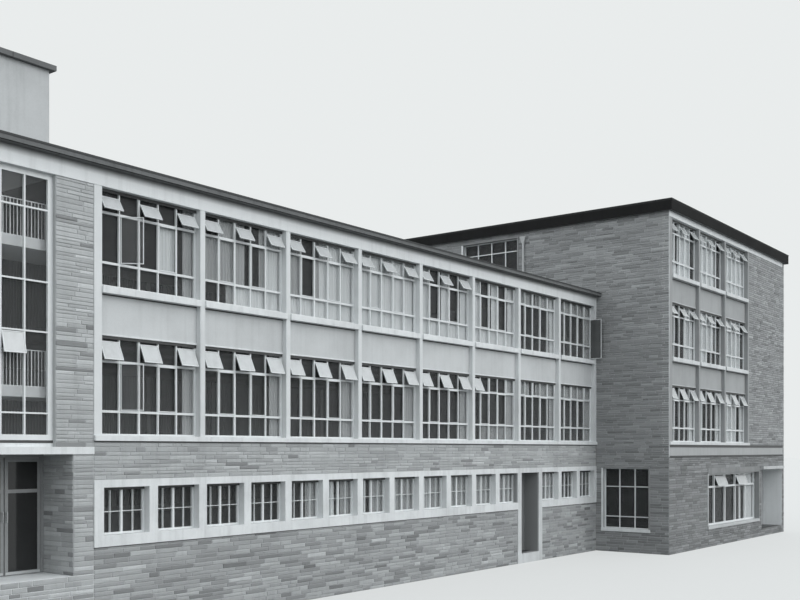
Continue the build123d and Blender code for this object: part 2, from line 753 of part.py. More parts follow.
def wing_door():
    """Closed pair of panelled doors in their frame."""
    x = entrance_door_x()
    z = (GROUND_FLOOR, GROUND_FLOOR + ENTRANCE_DOOR_HIGH)
    frame_y = (ENTRANCE_BACK + FRAME_DEEP, ENTRANCE_BACK + 2 * FRAME_DEEP)
    rail = GROUND_FLOOR + ENTRANCE_DOOR_RAIL
    frame = lattice(x, frame_y, z, [sum(x) / 2], [rail], DOOR_STILE, DOOR_STILE)
    panel_y = (frame_y[0] + ENTRANCE_PANEL_IN, frame_y[1] - ENTRANCE_PANEL_IN)
    panel = block((x[0] + CUT, x[1] - CUT), panel_y, (z[0] + CUT, z[1] - CUT))
    return frame + panel


def rainwater_pipe():
    """Pipe with its hopper head on the wing's side, down to the lower roof."""
    x = WING_LEFT - PIPE_R - PIPE_GAP
    low = MAIN_ROOF + DECK
    high = WING_ROOF - WING_BEAM_HIGH
    pipe = Pos(x, PIPE_Y, (low + high) / 2) * Cylinder(PIPE_R, high - low)
    depth = WING_LEFT - x
    top = Pos(x, PIPE_Y, high) * Rectangle(2 * depth, HOPPER_WIDE)
    foot = Pos(x, PIPE_Y, high - HOPPER_HIGH) * Rectangle(2 * PIPE_R, 2 * PIPE_R)
    hopper = loft([foot, top])
    pipe = pipe + hopper
    ear_y = (PIPE_Y - EAR_WIDE / 2, PIPE_Y + EAR_WIDE / 2)
    for share in EAR_SHARES:
        z = low + share * (high - low)
        pipe += block((x, WING_LEFT), ear_y, (z, z + EAR_HIGH))
    return pipe


NODES = {
    "main_floors": floors,
    "main_roof_deck": roof_deck,
    "main_roof_fascia": roof_fascia,
    "main_base_walls": base_walls,
    "main_band_walls": band_walls,
    "ground_surrounds": ground_surrounds,
    "ground_windows": ground_windows,
    "facade_posts": facade_posts,
    "window_sills": window_sills,
    "spandrel_panels": spandrel_panels,
    "edge_beams": edge_beams,
    "first_floor_windows": lambda: row_windows(1),
    "second_floor_windows": lambda: row_windows(2),
    "third_floor_windows": lambda: row_windows(3),
    "window_glass": window_glass,
    "doorway_lining": doorway_lining,
    "side_door": side_door,
    "stair_piers": stair_piers,
    "left_end_wall": left_end_wall,
    "stair_rear_wall": stair_rear_wall,
    "stair_window": stair_window,
    "stair_glass": stair_glass,
    "stair_landings": stair_landings,
    "landing_balustrades": landing_balustrades,
    "stair_hall_floor": stair_hall_floor,
    "porch_piers": porch_piers,
    "porch_lintel": porch_lintel,
    "porch_screen": porch_screen,
    "porch_door_left": porch_door_left,
    "porch_door_right": porch_door_right,
    "tank_room_walls": tank_room_walls,
    "tank_room_roof": tank_room_roof,
    "wing_floors": wing_floors,
    "wing_roof_deck": wing_roof_deck,
    "wing_roof_fascia": wing_roof_fascia,
    "wing_side_wall": wing_side_wall,
    "wing_end_wall": wing_end_wall,
    "wing_front_wall": wing_front_wall,
    "wing_rear_wall": wing_rear_wall,
    "wing_side_windows": wing_side_windows,
    "wing_screen": wing_screen,
    "wing_glass": wing_glass,
    "wing_entrance": wing_entrance,
    "wing_door": wing_door,
    "rainwater_pipe": rainwater_pipe,
}

# The origin is under the middle of the whole building, at its lowest level.
ORIGIN = (
    (LEFT - MAIN_EAVE + WING_RIGHT + WING_EAVE) / 2,
    (WING_Y[0] - WING_EAVE + WING_Y[1] + WING_EAVE) / 2,
    0,
)

os.makedirs("parts", exist_ok=True)
for name, make in NODES.items():
    made = make()
    solids = [s for piece in (made if isinstance(made, list) else [made]) for s in piece.solids()]
    moved = [Pos(*(-v for v in ORIGIN)) * s for s in solids]
    export_step(moved[0] if len(moved) == 1 else Compound(children=moved), f"parts/{name}.step")
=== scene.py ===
import math

import bpy
import numpy as np
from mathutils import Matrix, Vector


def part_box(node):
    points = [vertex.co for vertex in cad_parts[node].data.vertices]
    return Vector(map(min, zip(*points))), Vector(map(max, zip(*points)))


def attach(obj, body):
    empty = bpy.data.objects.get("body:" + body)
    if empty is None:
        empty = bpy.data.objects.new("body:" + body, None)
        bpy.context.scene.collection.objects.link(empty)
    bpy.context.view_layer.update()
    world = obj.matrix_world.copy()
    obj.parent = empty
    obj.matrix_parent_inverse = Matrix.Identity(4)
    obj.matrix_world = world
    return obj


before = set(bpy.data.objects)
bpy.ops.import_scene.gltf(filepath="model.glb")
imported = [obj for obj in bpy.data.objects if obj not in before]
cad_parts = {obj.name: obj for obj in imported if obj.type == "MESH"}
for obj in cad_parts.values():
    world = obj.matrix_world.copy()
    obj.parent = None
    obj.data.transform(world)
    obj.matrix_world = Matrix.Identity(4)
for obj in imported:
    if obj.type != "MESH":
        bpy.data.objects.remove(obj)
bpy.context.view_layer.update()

# Ground, sky and view
# The building stands on a plain pale ground under an even sky, with a broad low sun from the
# front and right. It is seen from in front of its left end, above head height.
LIGHT_OF_SKY = 1.42
LIGHT_TINT = (0.97, 1.0, 1.02, 1)
SKY_AS_SEEN = 0.84
SKY_TINT = (0.97, 1.0, 1.0, 1)
SUN_FROM = Vector((0.32, -0.86, 0.40))
SUN_STRENGTH = 0.6
SUN_WIDTH = math.radians(30)
GROUND_REACH = 250.0
GROUND_AS_SEEN = 0.58
GROUND_TINT = (0.12, 0.125, 0.125, 1)
BAY_LINE_IN = 0.065
EYE_FROM_FIRST_POST = Vector((-7.0785, -9.6725, 2.10))
EYE_TURN = math.radians(-52.64)
LENS = 45.96
LENS_RISE = 0.187

scene = bpy.context.scene
scene.view_settings.view_transform = "Standard"
wall_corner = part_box("main_base_walls")[0]
first_post = Vector((wall_corner.x + BAY_LINE_IN, wall_corner.y, 0))
front_y = wall_corner.y

camera = bpy.data.objects.new("camera", bpy.data.cameras.new("camera"))
camera.location = first_post + EYE_FROM_FIRST_POST
camera.rotation_euler = (math.pi / 2, 0, EYE_TURN)
camera.data.lens = LENS
camera.data.shift_y = LENS_RISE
camera.data.clip_end = 2 * GROUND_REACH
scene.collection.objects.link(camera)
scene.camera = camera

sun = bpy.data.objects.new("sun", bpy.data.lights.new("sun", "SUN"))
sun.data.energy = SUN_STRENGTH
sun.data.angle = SUN_WIDTH
sun.rotation_euler = SUN_FROM.to_track_quat("Z", "Y").to_euler()
scene.collection.objects.link(sun)


def fill(node, values):
    """Set the sockets of a node, or link them where the value is itself a socket."""
    for name, value in values.items():
        if isinstance(value, bpy.types.NodeSocket):
            node.id_data.links.new(value, node.inputs[name])
        else:
            node.inputs[name].default_value = value


def shader(tree, kind, values=None, **settings):
    """Add one shader node with its settings and its sockets."""
    node = tree.nodes.new("ShaderNode" + kind)
    for key, value in settings.items():
        setattr(node, key, value)
    fill(node, values or {})
    return node


def worked(tree, kind, *values, **settings):
    """What one sum makes of numbers and sockets."""
    return shader(tree, "Math", dict(enumerate(values)), operation=kind, **settings).outputs[0]


def new_material(name):
    """A material, the tree of its nodes, and its skin, which the other nodes feed."""
    material = bpy.data.materials.new(name)
    material.use_nodes = True
    tree = material.node_tree
    return material, tree, tree.nodes["Principled BSDF"]


def seen_directly(tree):
    """One where the eye, a reflection or a pane of glass looks, nought for the light itself."""
    path = shader(tree, "LightPath").outputs
    either = worked(tree, "MAXIMUM", path["Is Camera Ray"], path["Is Glossy Ray"])
    return worked(tree, "MAXIMUM", either, path["Is Transmission Ray"])


sky = bpy.data.worlds.new("sky")
scene.world = sky
sky.use_nodes = True
sky_tree = sky.node_tree
lighting = sky_tree.nodes["Background"]
fill(lighting, {"Color": LIGHT_TINT, "Strength": LIGHT_OF_SKY})
backdrop = shader(sky_tree, "Background", {"Color": SKY_TINT, "Strength": SKY_AS_SEEN})
sky_mix = shader(sky_tree, "MixShader", {0: seen_directly(sky_tree), 1: lighting.outputs[0],
                                         2: backdrop.outputs[0]})
fill(sky_tree.nodes["World Output"], {"Surface": sky_mix.outputs[0]})

reach = GROUND_REACH
ground_mesh = bpy.data.meshes.new("ground")
ground_mesh.from_pydata([(-reach, -reach, 0), (reach, -reach, 0), (reach, reach, 0),
                         (-reach, reach, 0)], [], [(0, 1, 2, 3)])
ground = bpy.data.objects.new("ground", ground_mesh)
scene.collection.objects.link(ground)
ground_finish, ground_tree, ground_skin = new_material("ground")
lift = worked(ground_tree, "MULTIPLY", seen_directly(ground_tree), GROUND_AS_SEEN)
fill(ground_skin, {"Base Color": GROUND_TINT, "Roughness": 0.9, "Emission Color": SKY_TINT,
                   "Emission Strength": lift})
ground_mesh.materials.append(ground_finish)

# Concrete floors and landings
# Cast floors at each storey, dark with years of polish in the rooms; the stair landings and
# the porch floor are bare pale concrete. All bear on the walls round them.
FAR_OFF = 100.0
wing_side_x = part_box("wing_side_wall")[0].x


def new_group(name, inputs, outputs):
    """A group of nodes, its named inputs with their usual values, and its named outputs."""
    group = bpy.data.node_groups.new(name, "ShaderNodeTree")
    for label, value in inputs.items():
        socket = group.interface.new_socket(label, in_out="INPUT", socket_type="NodeSocketFloat")
        socket.default_value = value
    for label in outputs:
        group.interface.new_socket(label, in_out="OUTPUT", socket_type="NodeSocketFloat")
    return group, group.nodes.new("NodeGroupInput").outputs, group.nodes.new("NodeGroupOutput")


def ranged(tree, value, low, high, start=0.0, end=1.0):
    """Where a value lies between two limits, told as a value between two others."""
    return shader(tree, "MapRange", {"Value": value, "From Min": low, "From Max": high,
                                     "To Min": start, "To Max": end}).outputs[0]


def weather_group():
    """Where rain has streaked a surface, where it is stained, and its fine grain."""
    group, given, result = new_group(
        "Weather", {"Streaks": 0.5, "Stains": 0.5, "Stain Size": 1.0, "Grain Size": 0.02},
        ("Wear", "Grain"))
    place = shader(group, "TexCoord").outputs["Object"]

    def noise(size, stretch, detail):
        spread = shader(group, "Mapping", {"Vector": place, "Scale": stretch}).outputs[0]
        scale = worked(group, "DIVIDE", 1.0, size)
        return shader(group, "TexNoise", {"Vector": spread, "Scale": scale, "Detail": detail,
                                          "Roughness": 0.62}).outputs["Fac"]

    def strong_part(value, low, high, amount):
        return worked(group, "MULTIPLY", ranged(group, value, low, high), amount)

    streak = strong_part(noise(0.09, (1, 1, 0.05), 3), 0.50, 0.72, given["Streaks"])
    stain = strong_part(noise(given["Stain Size"], (1, 1, 1), 5), 0.42, 0.70, given["Stains"])
    grain = noise(given["Grain Size"], (1, 1, 1), 4)
    speck = strong_part(grain, 0.3, 0.75, 0.30)
    wear = worked(group, "ADD", worked(group, "ADD", streak, stain), speck, use_clamp=True)
    fill(result, {"Wear": wear, "Grain": grain})
    return group


def coordinate(tree, axis):
    """How far along one axis of the building a point lies."""
    place = shader(tree, "TexCoord").outputs["Object"]
    return shader(tree, "SeparateXYZ", {0: place}).outputs[axis]


def zone_group():
    """One at the points that lie over and under given limits, nought at the others."""
    limits = {f"{axis} {way}": far for axis in "XYZ"
              for way, far in (("Over", -FAR_OFF), ("Under", FAR_OFF))}
    group, given, result = new_group("Zone", limits, ["There"])
    there = 1.0
    for limit in limits:
        kind = "GREATER_THAN" if limit.endswith("Over") else "LESS_THAN"
        inside = worked(group, kind, coordinate(group, limit[0]), given[limit])
        there = worked(group, "MULTIPLY", inside, there)
    fill(result, {"There": there})
    return group


weather = weather_group()
zone = zone_group()


def weathered(tree, streaks, stains, stain_size, grain_size):
    """The wear and the grain of one surface."""
    return shader(tree, "Group", {"Streaks": streaks, "Stains": stains, "Stain Size": stain_size,
                                  "Grain Size": grain_size}, node_tree=weather).outputs


def within(tree, limits):
    """One inside a zone of the building, nought outside it."""
    return shader(tree, "Group", limits, node_tree=zone).outputs[0]


def grey(value):
    """The slightly cool grey of the whole building, at a given lightness."""
    return (0.965 * value, value, 1.01 * value, 1)


def mixed(tree, share, one, other, blend="MIX"):
    """A colour blended with a share of another."""
    return shader(tree, "Mix", {0: share, 6: one, 7: other}, data_type="RGBA",
                  blend_type=blend).outputs[2]


def raised(tree, height, strength, distance):
    """The normals of a surface that a height roughens."""
    return shader(tree, "Bump", {"Height": height, "Strength": strength,
                                 "Distance": distance}).outputs[0]


def finish(name, clean, worn, streaks, stains, stain_size, grain_size, rough, relief,
           wing_shade_share=1.0, wing_shade_below=FAR_OFF):
    """A surface that wears from a clean grey to a worn one, with a fine raised grain.

    On the wing, below a given level, only a share of its lightness is left: painted shade.
    """
    material, tree, skin = new_material(name)
    wear, grain = weathered(tree, streaks, stains, stain_size, grain_size)
    tint = mixed(tree, wear, grey(clean), grey(worn))
    # The wing's share darkens the colour there: painted shade.
    in_wing_shade = within(tree, {"X Over": wing_side_x, "Z Under": wing_shade_below})
    painted_shade = (wing_shade_share, wing_shade_share, wing_shade_share, 1)
    fill(skin, {"Base Color": mixed(tree, in_wing_shade, tint, painted_shade, "MULTIPLY"),
                "Roughness": ranged(tree, wear, 0.0, 1.0, *rough),
                "Normal": raised(tree, grain, 0.6, relief)})
    return material


def coat(material, *nodes):
    """Finish carried-over pieces of the building with a material."""
    for name in nodes:
        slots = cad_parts[name].material_slots
        if not len(slots):
            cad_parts[name].data.materials.append(material)
        for held in slots:
            held.material = material


room_floor = finish("polished_floor", 0.055, 0.035, 0, 0.6, 0.8, 0.01, (0.35, 0.6), 0.0004)
coat(room_floor, "main_floors", "wing_floors")
bare_concrete = finish("bare_concrete", 0.80, 0.62, 0.2, 0.5, 0.5, 0.012, (0.7, 0.9), 0.001)
coat(bare_concrete, "stair_landings", "stair_hall_floor")

# Stone walls
# Cavity walls faced with long thin split-face blocks of sandstone, laid in courses of uneven
# height with recessed joints. The facing blocks are bedded on the wall that carries them.
COURSE = (0.036, 0.060)
LEAST_COURSE = 0.018
BLOCK = (0.13, 0.44)
LEAST_BLOCK = 0.6 * BLOCK[0]
JOINT = 0.004
PROUD = (0.003, 0.008)
TILT = 0.0015
ARRIS = 0.005
RIDGE_AT = (0.3, 0.7)
RIDGE_PROUD = (0.0005, 0.003)
STONE_GREYS = (0.14, 0.37, 0.56)
LEAST_TONE = 0.02
DARK_BLOCKS = 0.35
WALLS_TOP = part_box("wing_side_wall")[1].z
FRONT_REACH = 2.0
# A block has four points at the wall, four at its arrises and one on its split face.
BLOCK_POINTS = 9
BLOCK_FACES = [(0, 1, 5, 4), (1, 2, 6, 5), (2, 3, 7, 6), (3, 0, 4, 7),
               (4, 5, 8), (5, 6, 8), (6, 7, 8), (7, 4, 8)]


def stone_finish():
    """Split sandstone: each block has its own tone, under blotches, streaks and a rough grain."""
    material, tree, skin = new_material("split_sandstone")
    tone = shader(tree, "Attribute", attribute_name="tone").outputs["Fac"]
    ramp = shader(tree, "ValToRGB", {0: tone})
    ramp.color_ramp.elements.new(0.5)
    for stop, value in zip(ramp.color_ramp.elements, STONE_GREYS):
        stop.color = grey(value)
    wear, grain = weathered(tree, 0.35, 0.45, 0.9, 0.018)
    weak = worked(tree, "MULTIPLY", wear, 0.55)
    fill(skin, {"Base Color": mixed(tree, weak, ramp.outputs[0], grey(0.22)), "Roughness": 0.88,
                "Normal": raised(tree, grain, 0.8, 0.004)})
    return material


stone = stone_finish()
# On the wing the mortar keeps about a fifth of its lightness: painted shade.
mortar = finish("mortar", 0.45, 0.33, 0.2, 0.5, 0.6, 0.008, (0.85, 0.95), 0.001, 0.21)
coat(mortar, "main_base_walls", "main_band_walls", "stair_piers", "left_end_wall",
     "stair_rear_wall", "porch_piers", "wing_side_wall", "wing_end_wall", "wing_front_wall",
     "wing_rear_wall")
draw = np.random.default_rng(1955)
bed_joints = [0.0]
while bed_joints[-1] < WALLS_TOP:
    bed_joints.append(bed_joints[-1] + draw.uniform(*COURSE))


def turn(side):
    """The turn that stands a drawn elevation (right, inward, up) on one side of the building."""
    right = {"front": (1, 0), "right": (0, 1), "rear": (-1, 0), "left": (0, -1)}[side]
    return np.array([(right[0], -right[1], 0), (right[1], right[0], 0), (0, 0, 1)], float)


def drawn(side, box):
    """Lowest and highest corner of a box, as drawn in the elevation of one side."""
    corners = np.array([tuple(corner) for corner in box]) @ turn(side)
    return corners.min(0), corners.max(0)


def piece(name, parts, material, body="building"):
    """One object of many joined shapes, with its finish, on the body that carries it."""
    points, faces = [], []
    for some_points, some_faces in parts:
        faces += [[len(points) + i for i in face] for face in some_faces]
        points += some_points.tolist()
    mesh = bpy.data.meshes.new(name)
    mesh.from_pydata(points, [], faces)
    mesh.materials.append(material)
    made = bpy.data.objects.new(name, mesh)
    scene.collection.objects.link(made)
    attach(made, body)
    return made


def courses(low, high, holes):
    """Bed joints between two levels, moved to meet the sills and heads of the holes."""
    edges = sorted({low, high, *(z for hole in holes for z in (hole[0][2], hole[1][2])
                                 if low < z < high)})
    inner = [z for z in bed_joints if low < z < high
             and min(abs(z - edge) for edge in edges) > LEAST_COURSE]
    return sorted(edges + inner)


def free_lengths(low, high, level, holes):
    """The stretches of a course that no hole interrupts."""
    spans = [(low, high)]
    for hole in holes:
        if hole[0][2] < level < hole[1][2]:
            cut = []
            for a, b in spans:
                cut += [(a, min(b, hole[0][0])), (max(a, hole[1][0]), b)]
            spans = [(a, b) for a, b in cut if b - a > JOINT]
    return spans


def blocks_of(side, low, high, holes=()):
    """Corner points and faces of the facing blocks on one flat stretch of wall."""
    low, high = drawn(side, (low, high))
    holes = [drawn(side, hole) for hole in holes]
    rows = []
    levels = courses(low[2], high[2], holes)
    for bottom, top in zip(levels, levels[1:]):
        for left, end in free_lengths(low[0], high[0], (bottom + top) / 2, holes):
            while left < end:
                right = left + draw.uniform(*BLOCK)
                if end - right < LEAST_BLOCK:
                    right = end
                rows.append((left, right, bottom, top))
                left = right
    left, right, bottom, top = np.array(rows).T
    left, right = left + JOINT / 2, right - JOINT / 2
    bottom, top = bottom + JOINT / 2, top - JOINT / 2
    count = len(rows)
    wall = np.full(count, low[1])
    proud = draw.uniform(*PROUD, count)
    points = np.empty((count, BLOCK_POINTS, 3))
    corners = ((left, bottom, 1, 1), (right, bottom, -1, 1), (right, top, -1, -1),
               (left, top, 1, -1))
    for k, (x, z, inward, up) in enumerate(corners):
        face = wall - (proud + draw.uniform(-TILT, TILT, count))
        points[:, k] = np.stack((x, wall, z), 1)
        points[:, k + 4] = np.stack((x + inward * ARRIS, face, z + up * ARRIS), 1)
    ridge_x = left + (right - left) * draw.uniform(*RIDGE_AT, count)
    ridge_y = wall - proud - draw.uniform(*RIDGE_PROUD, count)
    points[:, 8] = np.stack((ridge_x, ridge_y, (bottom + top) / 2), 1)
    faces = [[BLOCK_POINTS * k + i for i in face] for k in range(count) for face in BLOCK_FACES]
    return points.reshape(-1, 3) @ turn(side).T, faces


def stonework(name, stretches, tone=0.5, uneven=0.15, dark_share=0.06):
    """Facing of one wall as a single piece, with the tone of each block kept on its faces."""
    wall = piece(name, [blocks_of(*stretch) for stretch in stretches], stone)
    count = len(wall.data.polygons) // len(BLOCK_FACES)
    tones = np.clip(draw.normal(tone, uneven, count), LEAST_TONE, 1)
    tones[draw.random(count) < dark_share] *= DARK_BLOCKS
    kept = wall.data.attributes.new("tone", "FLOAT", "FACE")
    kept.data.foreach_set("value", np.repeat(tones, len(BLOCK_FACES)))


def solids(node):
    """Lowest and highest corner of each separate solid in a carried-over piece."""
    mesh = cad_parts[node].data
    points = np.array([tuple(v.co) for v in mesh.vertices])
    index = np.unique(points.round(4), axis=0, return_inverse=True)[1].reshape(-1)
    ends = index[np.array([tuple(edge.vertices) for edge in mesh.edges])]
    label = np.arange(index.max() + 1)
    settled = False
    while not settled:
        before = label.copy()
        np.minimum.at(label, ends[:, 0], before[ends[:, 1]])
        np.minimum.at(label, ends[:, 1], before[ends[:, 0]])
        settled = (label == before).all()
    own = label[index]
    boxes = [(points[own == k].min(0), points[own == k].max(0)) for k in np.unique(own)]
    return sorted(boxes, key=lambda box: tuple(box[0].round(3)))


def on_front(box):
    """Whether a piece is in one of the front walls, and not in a rear wall."""
    return box[0][1] < front_y + FRONT_REACH


# Every wall has its own tone, unevenness and share of dark blocks; the wing's darker tones are
# painted shade.
for name, tones in (("base", (0.44, 0.15, 0.07)), ("band", (0.63, 0.13, 0.03))):
    walls = solids(f"main_{name}_walls")
    stonework(f"front_{name}_stones", [("front", *box) for box in walls if on_front(box)], *tones)
    stonework(f"rear_{name}_stones", [("rear", *box) for box in walls if not on_front(box)],
              *tones)

left_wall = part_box("left_end_wall")
end_left, end_inner, stair_top = left_wall[0].x, left_wall[1].x, left_wall[1].z
pier_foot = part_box("stair_piers")[0].z
porch_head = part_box("porch_piers")[1].z
hall_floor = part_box("stair_hall_floor")[1].z
stair_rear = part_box("stair_rear_wall")
stair_right = stair_rear[1].x
pier_left, pier_right = solids("stair_piers")
porch_left, porch_right = solids("porch_piers")


def flat(side, face, start, end, low, high, *holes):
    """A flat stretch of stone: its face, its start and end along the wall, and its levels."""
    if side in ("front", "rear"):
        return side, (start, face, low), (end, face, high), holes
    return side, (face, start, low), (face, end, high), holes


stonework("stair_pier_stones", [
    flat("front", front_y, end_left, pier_left[1][0], pier_foot, pier_left[1][2]),
    flat("front", front_y, end_left, end_inner, pier_left[1][2], stair_top),
    flat("front", front_y, pier_right[0][0], stair_right, pier_foot, pier_right[1][2]),
    flat("front", front_y, end_left, end_inner, porch_head, pier_foot),
], 0.70, 0.12, 0.05)
stonework("porch_stones", [
    flat("front", front_y, end_left, stair_right, 0, hall_floor),
    flat("front", front_y, end_left, porch_left[1][0], hall_floor, porch_head),
    flat("front", front_y, porch_right[0][0], stair_right, hall_floor, porch_head),
    ("right", *porch_left),
    ("left", *porch_right),
], 0.60, 0.14, 0.05)
stonework("left_end_stones", [("left", *left_wall)])
stonework("stair_rear_stones", [
    flat("rear", stair_rear[1].y, end_left, stair_right, 0, stair_rear[1].z),
])

# The wing's side and front stones take darker tones than the block's: painted shade.
wing_front_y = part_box("wing_front_wall")[0].y
wing_rear_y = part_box("wing_rear_wall")[1].y
block_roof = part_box("main_roof_deck")[1].z
side_holes = solids("wing_side_windows")
stonework("wing_side_stones", [
    flat("left", wing_side_x, wing_front_y, front_y, 0, WALLS_TOP, *side_holes),
    flat("left", wing_side_x, front_y, wing_rear_y, block_roof, WALLS_TOP, *side_holes),
    flat("left", wing_side_x, left_wall[1].y, wing_rear_y, 0, block_roof, *side_holes),
], 0.22, 0.09, 0.04)
end_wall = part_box("wing_end_wall")
wing_inner, wing_right = end_wall[0].x, end_wall[1].x
stonework("wing_end_stones", [("right", *end_wall)])
wing_low, wing_high = solids("wing_front_wall")
screen_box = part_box("wing_screen")
ground_floor_top = solids("wing_floors")[0][1][2]
entrance_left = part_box("wing_entrance")[0].x + wing_right - wing_inner
canopy_levels = [v.co.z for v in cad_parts["wing_entrance"].data.vertices
                 if v.co.y < wing_front_y]
entrance_hole = ((entrance_left, wing_front_y, ground_floor_top),
                 (wing_inner, wing_front_y, max(canopy_levels)))
stonework("wing_front_low_stones", [
    flat("front", wing_front_y, wing_low[0][0], wing_right, 0, wing_low[1][2], screen_box,
         entrance_hole),
], 0.18, 0.09, 0.05)
stonework("wing_front_high_stones", [
    flat("front", wing_front_y, wing_high[0][0], wing_right, wing_high[0][2], WALLS_TOP),
    flat("front", wing_front_y, wing_inner, wing_right, wing_low[1][2], wing_high[0][2]),
], 0.38, 0.10, 0.03)
rear_low, rear_high = solids("wing_rear_wall")
stonework("wing_rear_stones", [
    flat("rear", wing_rear_y, rear_low[0][0], wing_right, 0, rear_low[1][2]),
    flat("rear", wing_rear_y, rear_high[0][0], wing_right, rear_high[0][2], WALLS_TOP),
    flat("rear", wing_rear_y, wing_inner, wing_right, rear_low[1][2], rear_high[0][2]),
])

# Cast surrounds, posts, sills and beams
# Painted cast concrete: the frame round the ground-floor windows, the posts that stand on the
# sill course, the window sills, and the beams under the roofs. Painted shade darkens the wing's.
LINING_EDGE = 0.012
LOW_BEAMS_UNDER = 2.3
EAVE_SHADE_HIGH = 0.09
EAVE_SHADE_COVER = 0.9


def cover(material, share, shade):
    """Lay another grey over a share of a finish."""
    tree = material.node_tree
    skin = tree.nodes["Principled BSDF"]
    under = skin.inputs["Base Color"].links[0].from_socket
    fill(skin, {"Base Color": mixed(tree, share, under, grey(shade))})


def two_tones(name, shade, other, limits, rough=(0.6, 0.8)):
    """One coating in two greys: the second within given limits."""
    material = finish(name, shade, 0.6 * shade, 0.4, 0.4, 0.6, 0.008, rough, 0.0005)
    cover(material, within(material.node_tree, limits), other)
    return material


# The last numbers keep a share of each grey on the wing as painted shade; the beams' holds below a
# level.
cast_paint = finish("painted_cast_concrete", 0.75, 0.50, 0.35, 0.45, 0.45, 0.01, (0.6, 0.8),
                    0.0008, 0.72)
coat(cast_paint, "ground_surrounds", "porch_lintel", "wing_entrance")
# Inside the doorway the lining turns dark grey: painted shade of the recess.
shaded_lining = two_tones("doorway_lining_painted_shade", 0.66, 0.24, {"Y Over": front_y + LINING_EDGE})
coat(shaded_lining, "doorway_lining")
sill_paint = finish("painted_sills", 0.76, 0.52, 0.35, 0.45, 0.45, 0.01, (0.6, 0.8), 0.0008, 0.9)
coat(sill_paint, "window_sills")
post_paint = finish("painted_posts", 0.70, 0.52, 0.45, 0.3, 0.5, 0.01, (0.6, 0.8), 0.0008, 0.46)
coat(post_paint, "facade_posts")
beam_paint = finish("painted_beams", 0.75, 0.58, 0.4, 0.35, 0.7, 0.01, (0.55, 0.75), 0.0008,
                    0.52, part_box("wing_front_wall")[0].z + LOW_BEAMS_UNDER)
# Under the block's eave the beam darkens towards its top: painted shade of the eave.
tree = beam_paint.node_tree
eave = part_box("main_roof_fascia")[0].z
painted_shade = ranged(tree, coordinate(tree, "Z"), eave - EAVE_SHADE_HIGH, eave, 0.0, EAVE_SHADE_COVER)
in_block = within(tree, {"X Under": wing_side_x})
cover(beam_paint, worked(tree, "MULTIPLY", painted_shade, in_block), 0.10)
coat(beam_paint, "edge_beams")

# Spandrel panels
# Smooth rendered panels between the window rows, set back behind the posts, bedded against
# the floor edge. The render dries in broad clouds, and rain streaks it under each sill.
# On the wing the panels keep only a share of their lightness: painted shade.
panel_render = finish("spandrel_render", 0.60, 0.46, 0.25, 0.55, 0.8, 0.02, (0.75, 0.9), 0.001,
                      0.64)
coat(panel_render, "spandrel_panels")

# Upper windows
# Rolled steel frames with four mullions and two transoms in each bay, painted white. Panes two
# and four are side-hung casements; vents one, three and five slide down and push out.
PANES = 5
FRAME_EDGE = 0.022
BAR = 0.018
COUPLING = 0.027
TRANSOM = 0.028
BAR_DEEP = 0.030
BAR_PROUD = 0.003
LOW_RAIL = 0.277
HIGH_RAIL = 0.850
SASH_EDGE = 0.011
SASH_DEEP = 0.014
PANE_THICK = 0.003
GLASS_EDGE = 0.0005
CASEMENT_ANGLE = math.radians(45)
VENTS = (0, 2, 4)
CASEMENTS = (1, 3)


def bar(low, high, chamfer=0.002):
    """A straight bar between two corners, with its four long edges chamfered."""
    low, high = np.minimum(low, high), np.maximum(low, high)
    size = high - low
    along = int(np.argmax(size))
    a, b = (along + 1) % 3, (along + 2) % 3
    cut = min(chamfer, 0.3 * size[a], 0.3 * size[b])
    ring = [(low[a] + cut, low[b]), (high[a] - cut, low[b]), (high[a], low[b] + cut),
            (high[a], high[b] - cut), (high[a] - cut, high[b]), (low[a] + cut, high[b]),
            (low[a], high[b] - cut), (low[a], low[b] + cut)]
    points = np.empty((16, 3))
    for k, (place_a, place_b) in enumerate(ring):
        points[[k, k + 8], a] = place_a
        points[[k, k + 8], b] = place_b
    points[:8, along] = low[along]
    points[8:, along] = high[along]
    sides = [(k, (k + 1) % 8, (k + 1) % 8 + 8, k + 8) for k in range(8)]
    return points, sides + [tuple(range(7, -1, -1)), tuple(range(8, 16))]


def sash(width, height, place, angle, side_hung=False):
    """The bars and the pane of a light steel sash, swung out from its head or from one side."""
    edge, deep, half = SASH_EDGE, SASH_DEEP, SASH_EDGE / 2
    near = (SASH_DEEP - PANE_THICK) / 2
    parts = [bar((0, 0, 0), (edge, deep, height)),
             bar((width - edge, 0, 0), (width, deep, height)),
             bar((edge, 0, 0), (width - edge, deep, edge)),
             bar((edge, 0, height - edge), (width - edge, deep, height)),
             bar((half, near, half), (width - half, near + PANE_THICK, height - half),
                 GLASS_EDGE)]
    c, s = math.cos(angle), math.sin(angle)
    if side_hung:
        hinge, spin = (width if angle < 0 else 0, 0, 0), [(c, s, 0), (-s, c, 0), (0, 0, 1)]
    else:
        hinge, spin = (0, 0, height), [(1, 0, 0), (0, c, s), (0, -s, c)]
    swung = [((points - hinge) @ np.array(spin).T + hinge + place, faces)
             for points, faces in parts]
    return swung[:4], swung[4]


def elevation(box):
    """The side that a piece of the front or rear walls faces, and its corners as drawn there."""
    side = "front" if on_front(box) else "rear"
    return side, *drawn(side, box)


def stood(side, parts):
    """Shapes drawn in one side's elevation, stood up on that side."""
    return [(points @ turn(side).T, faces) for points, faces in parts]


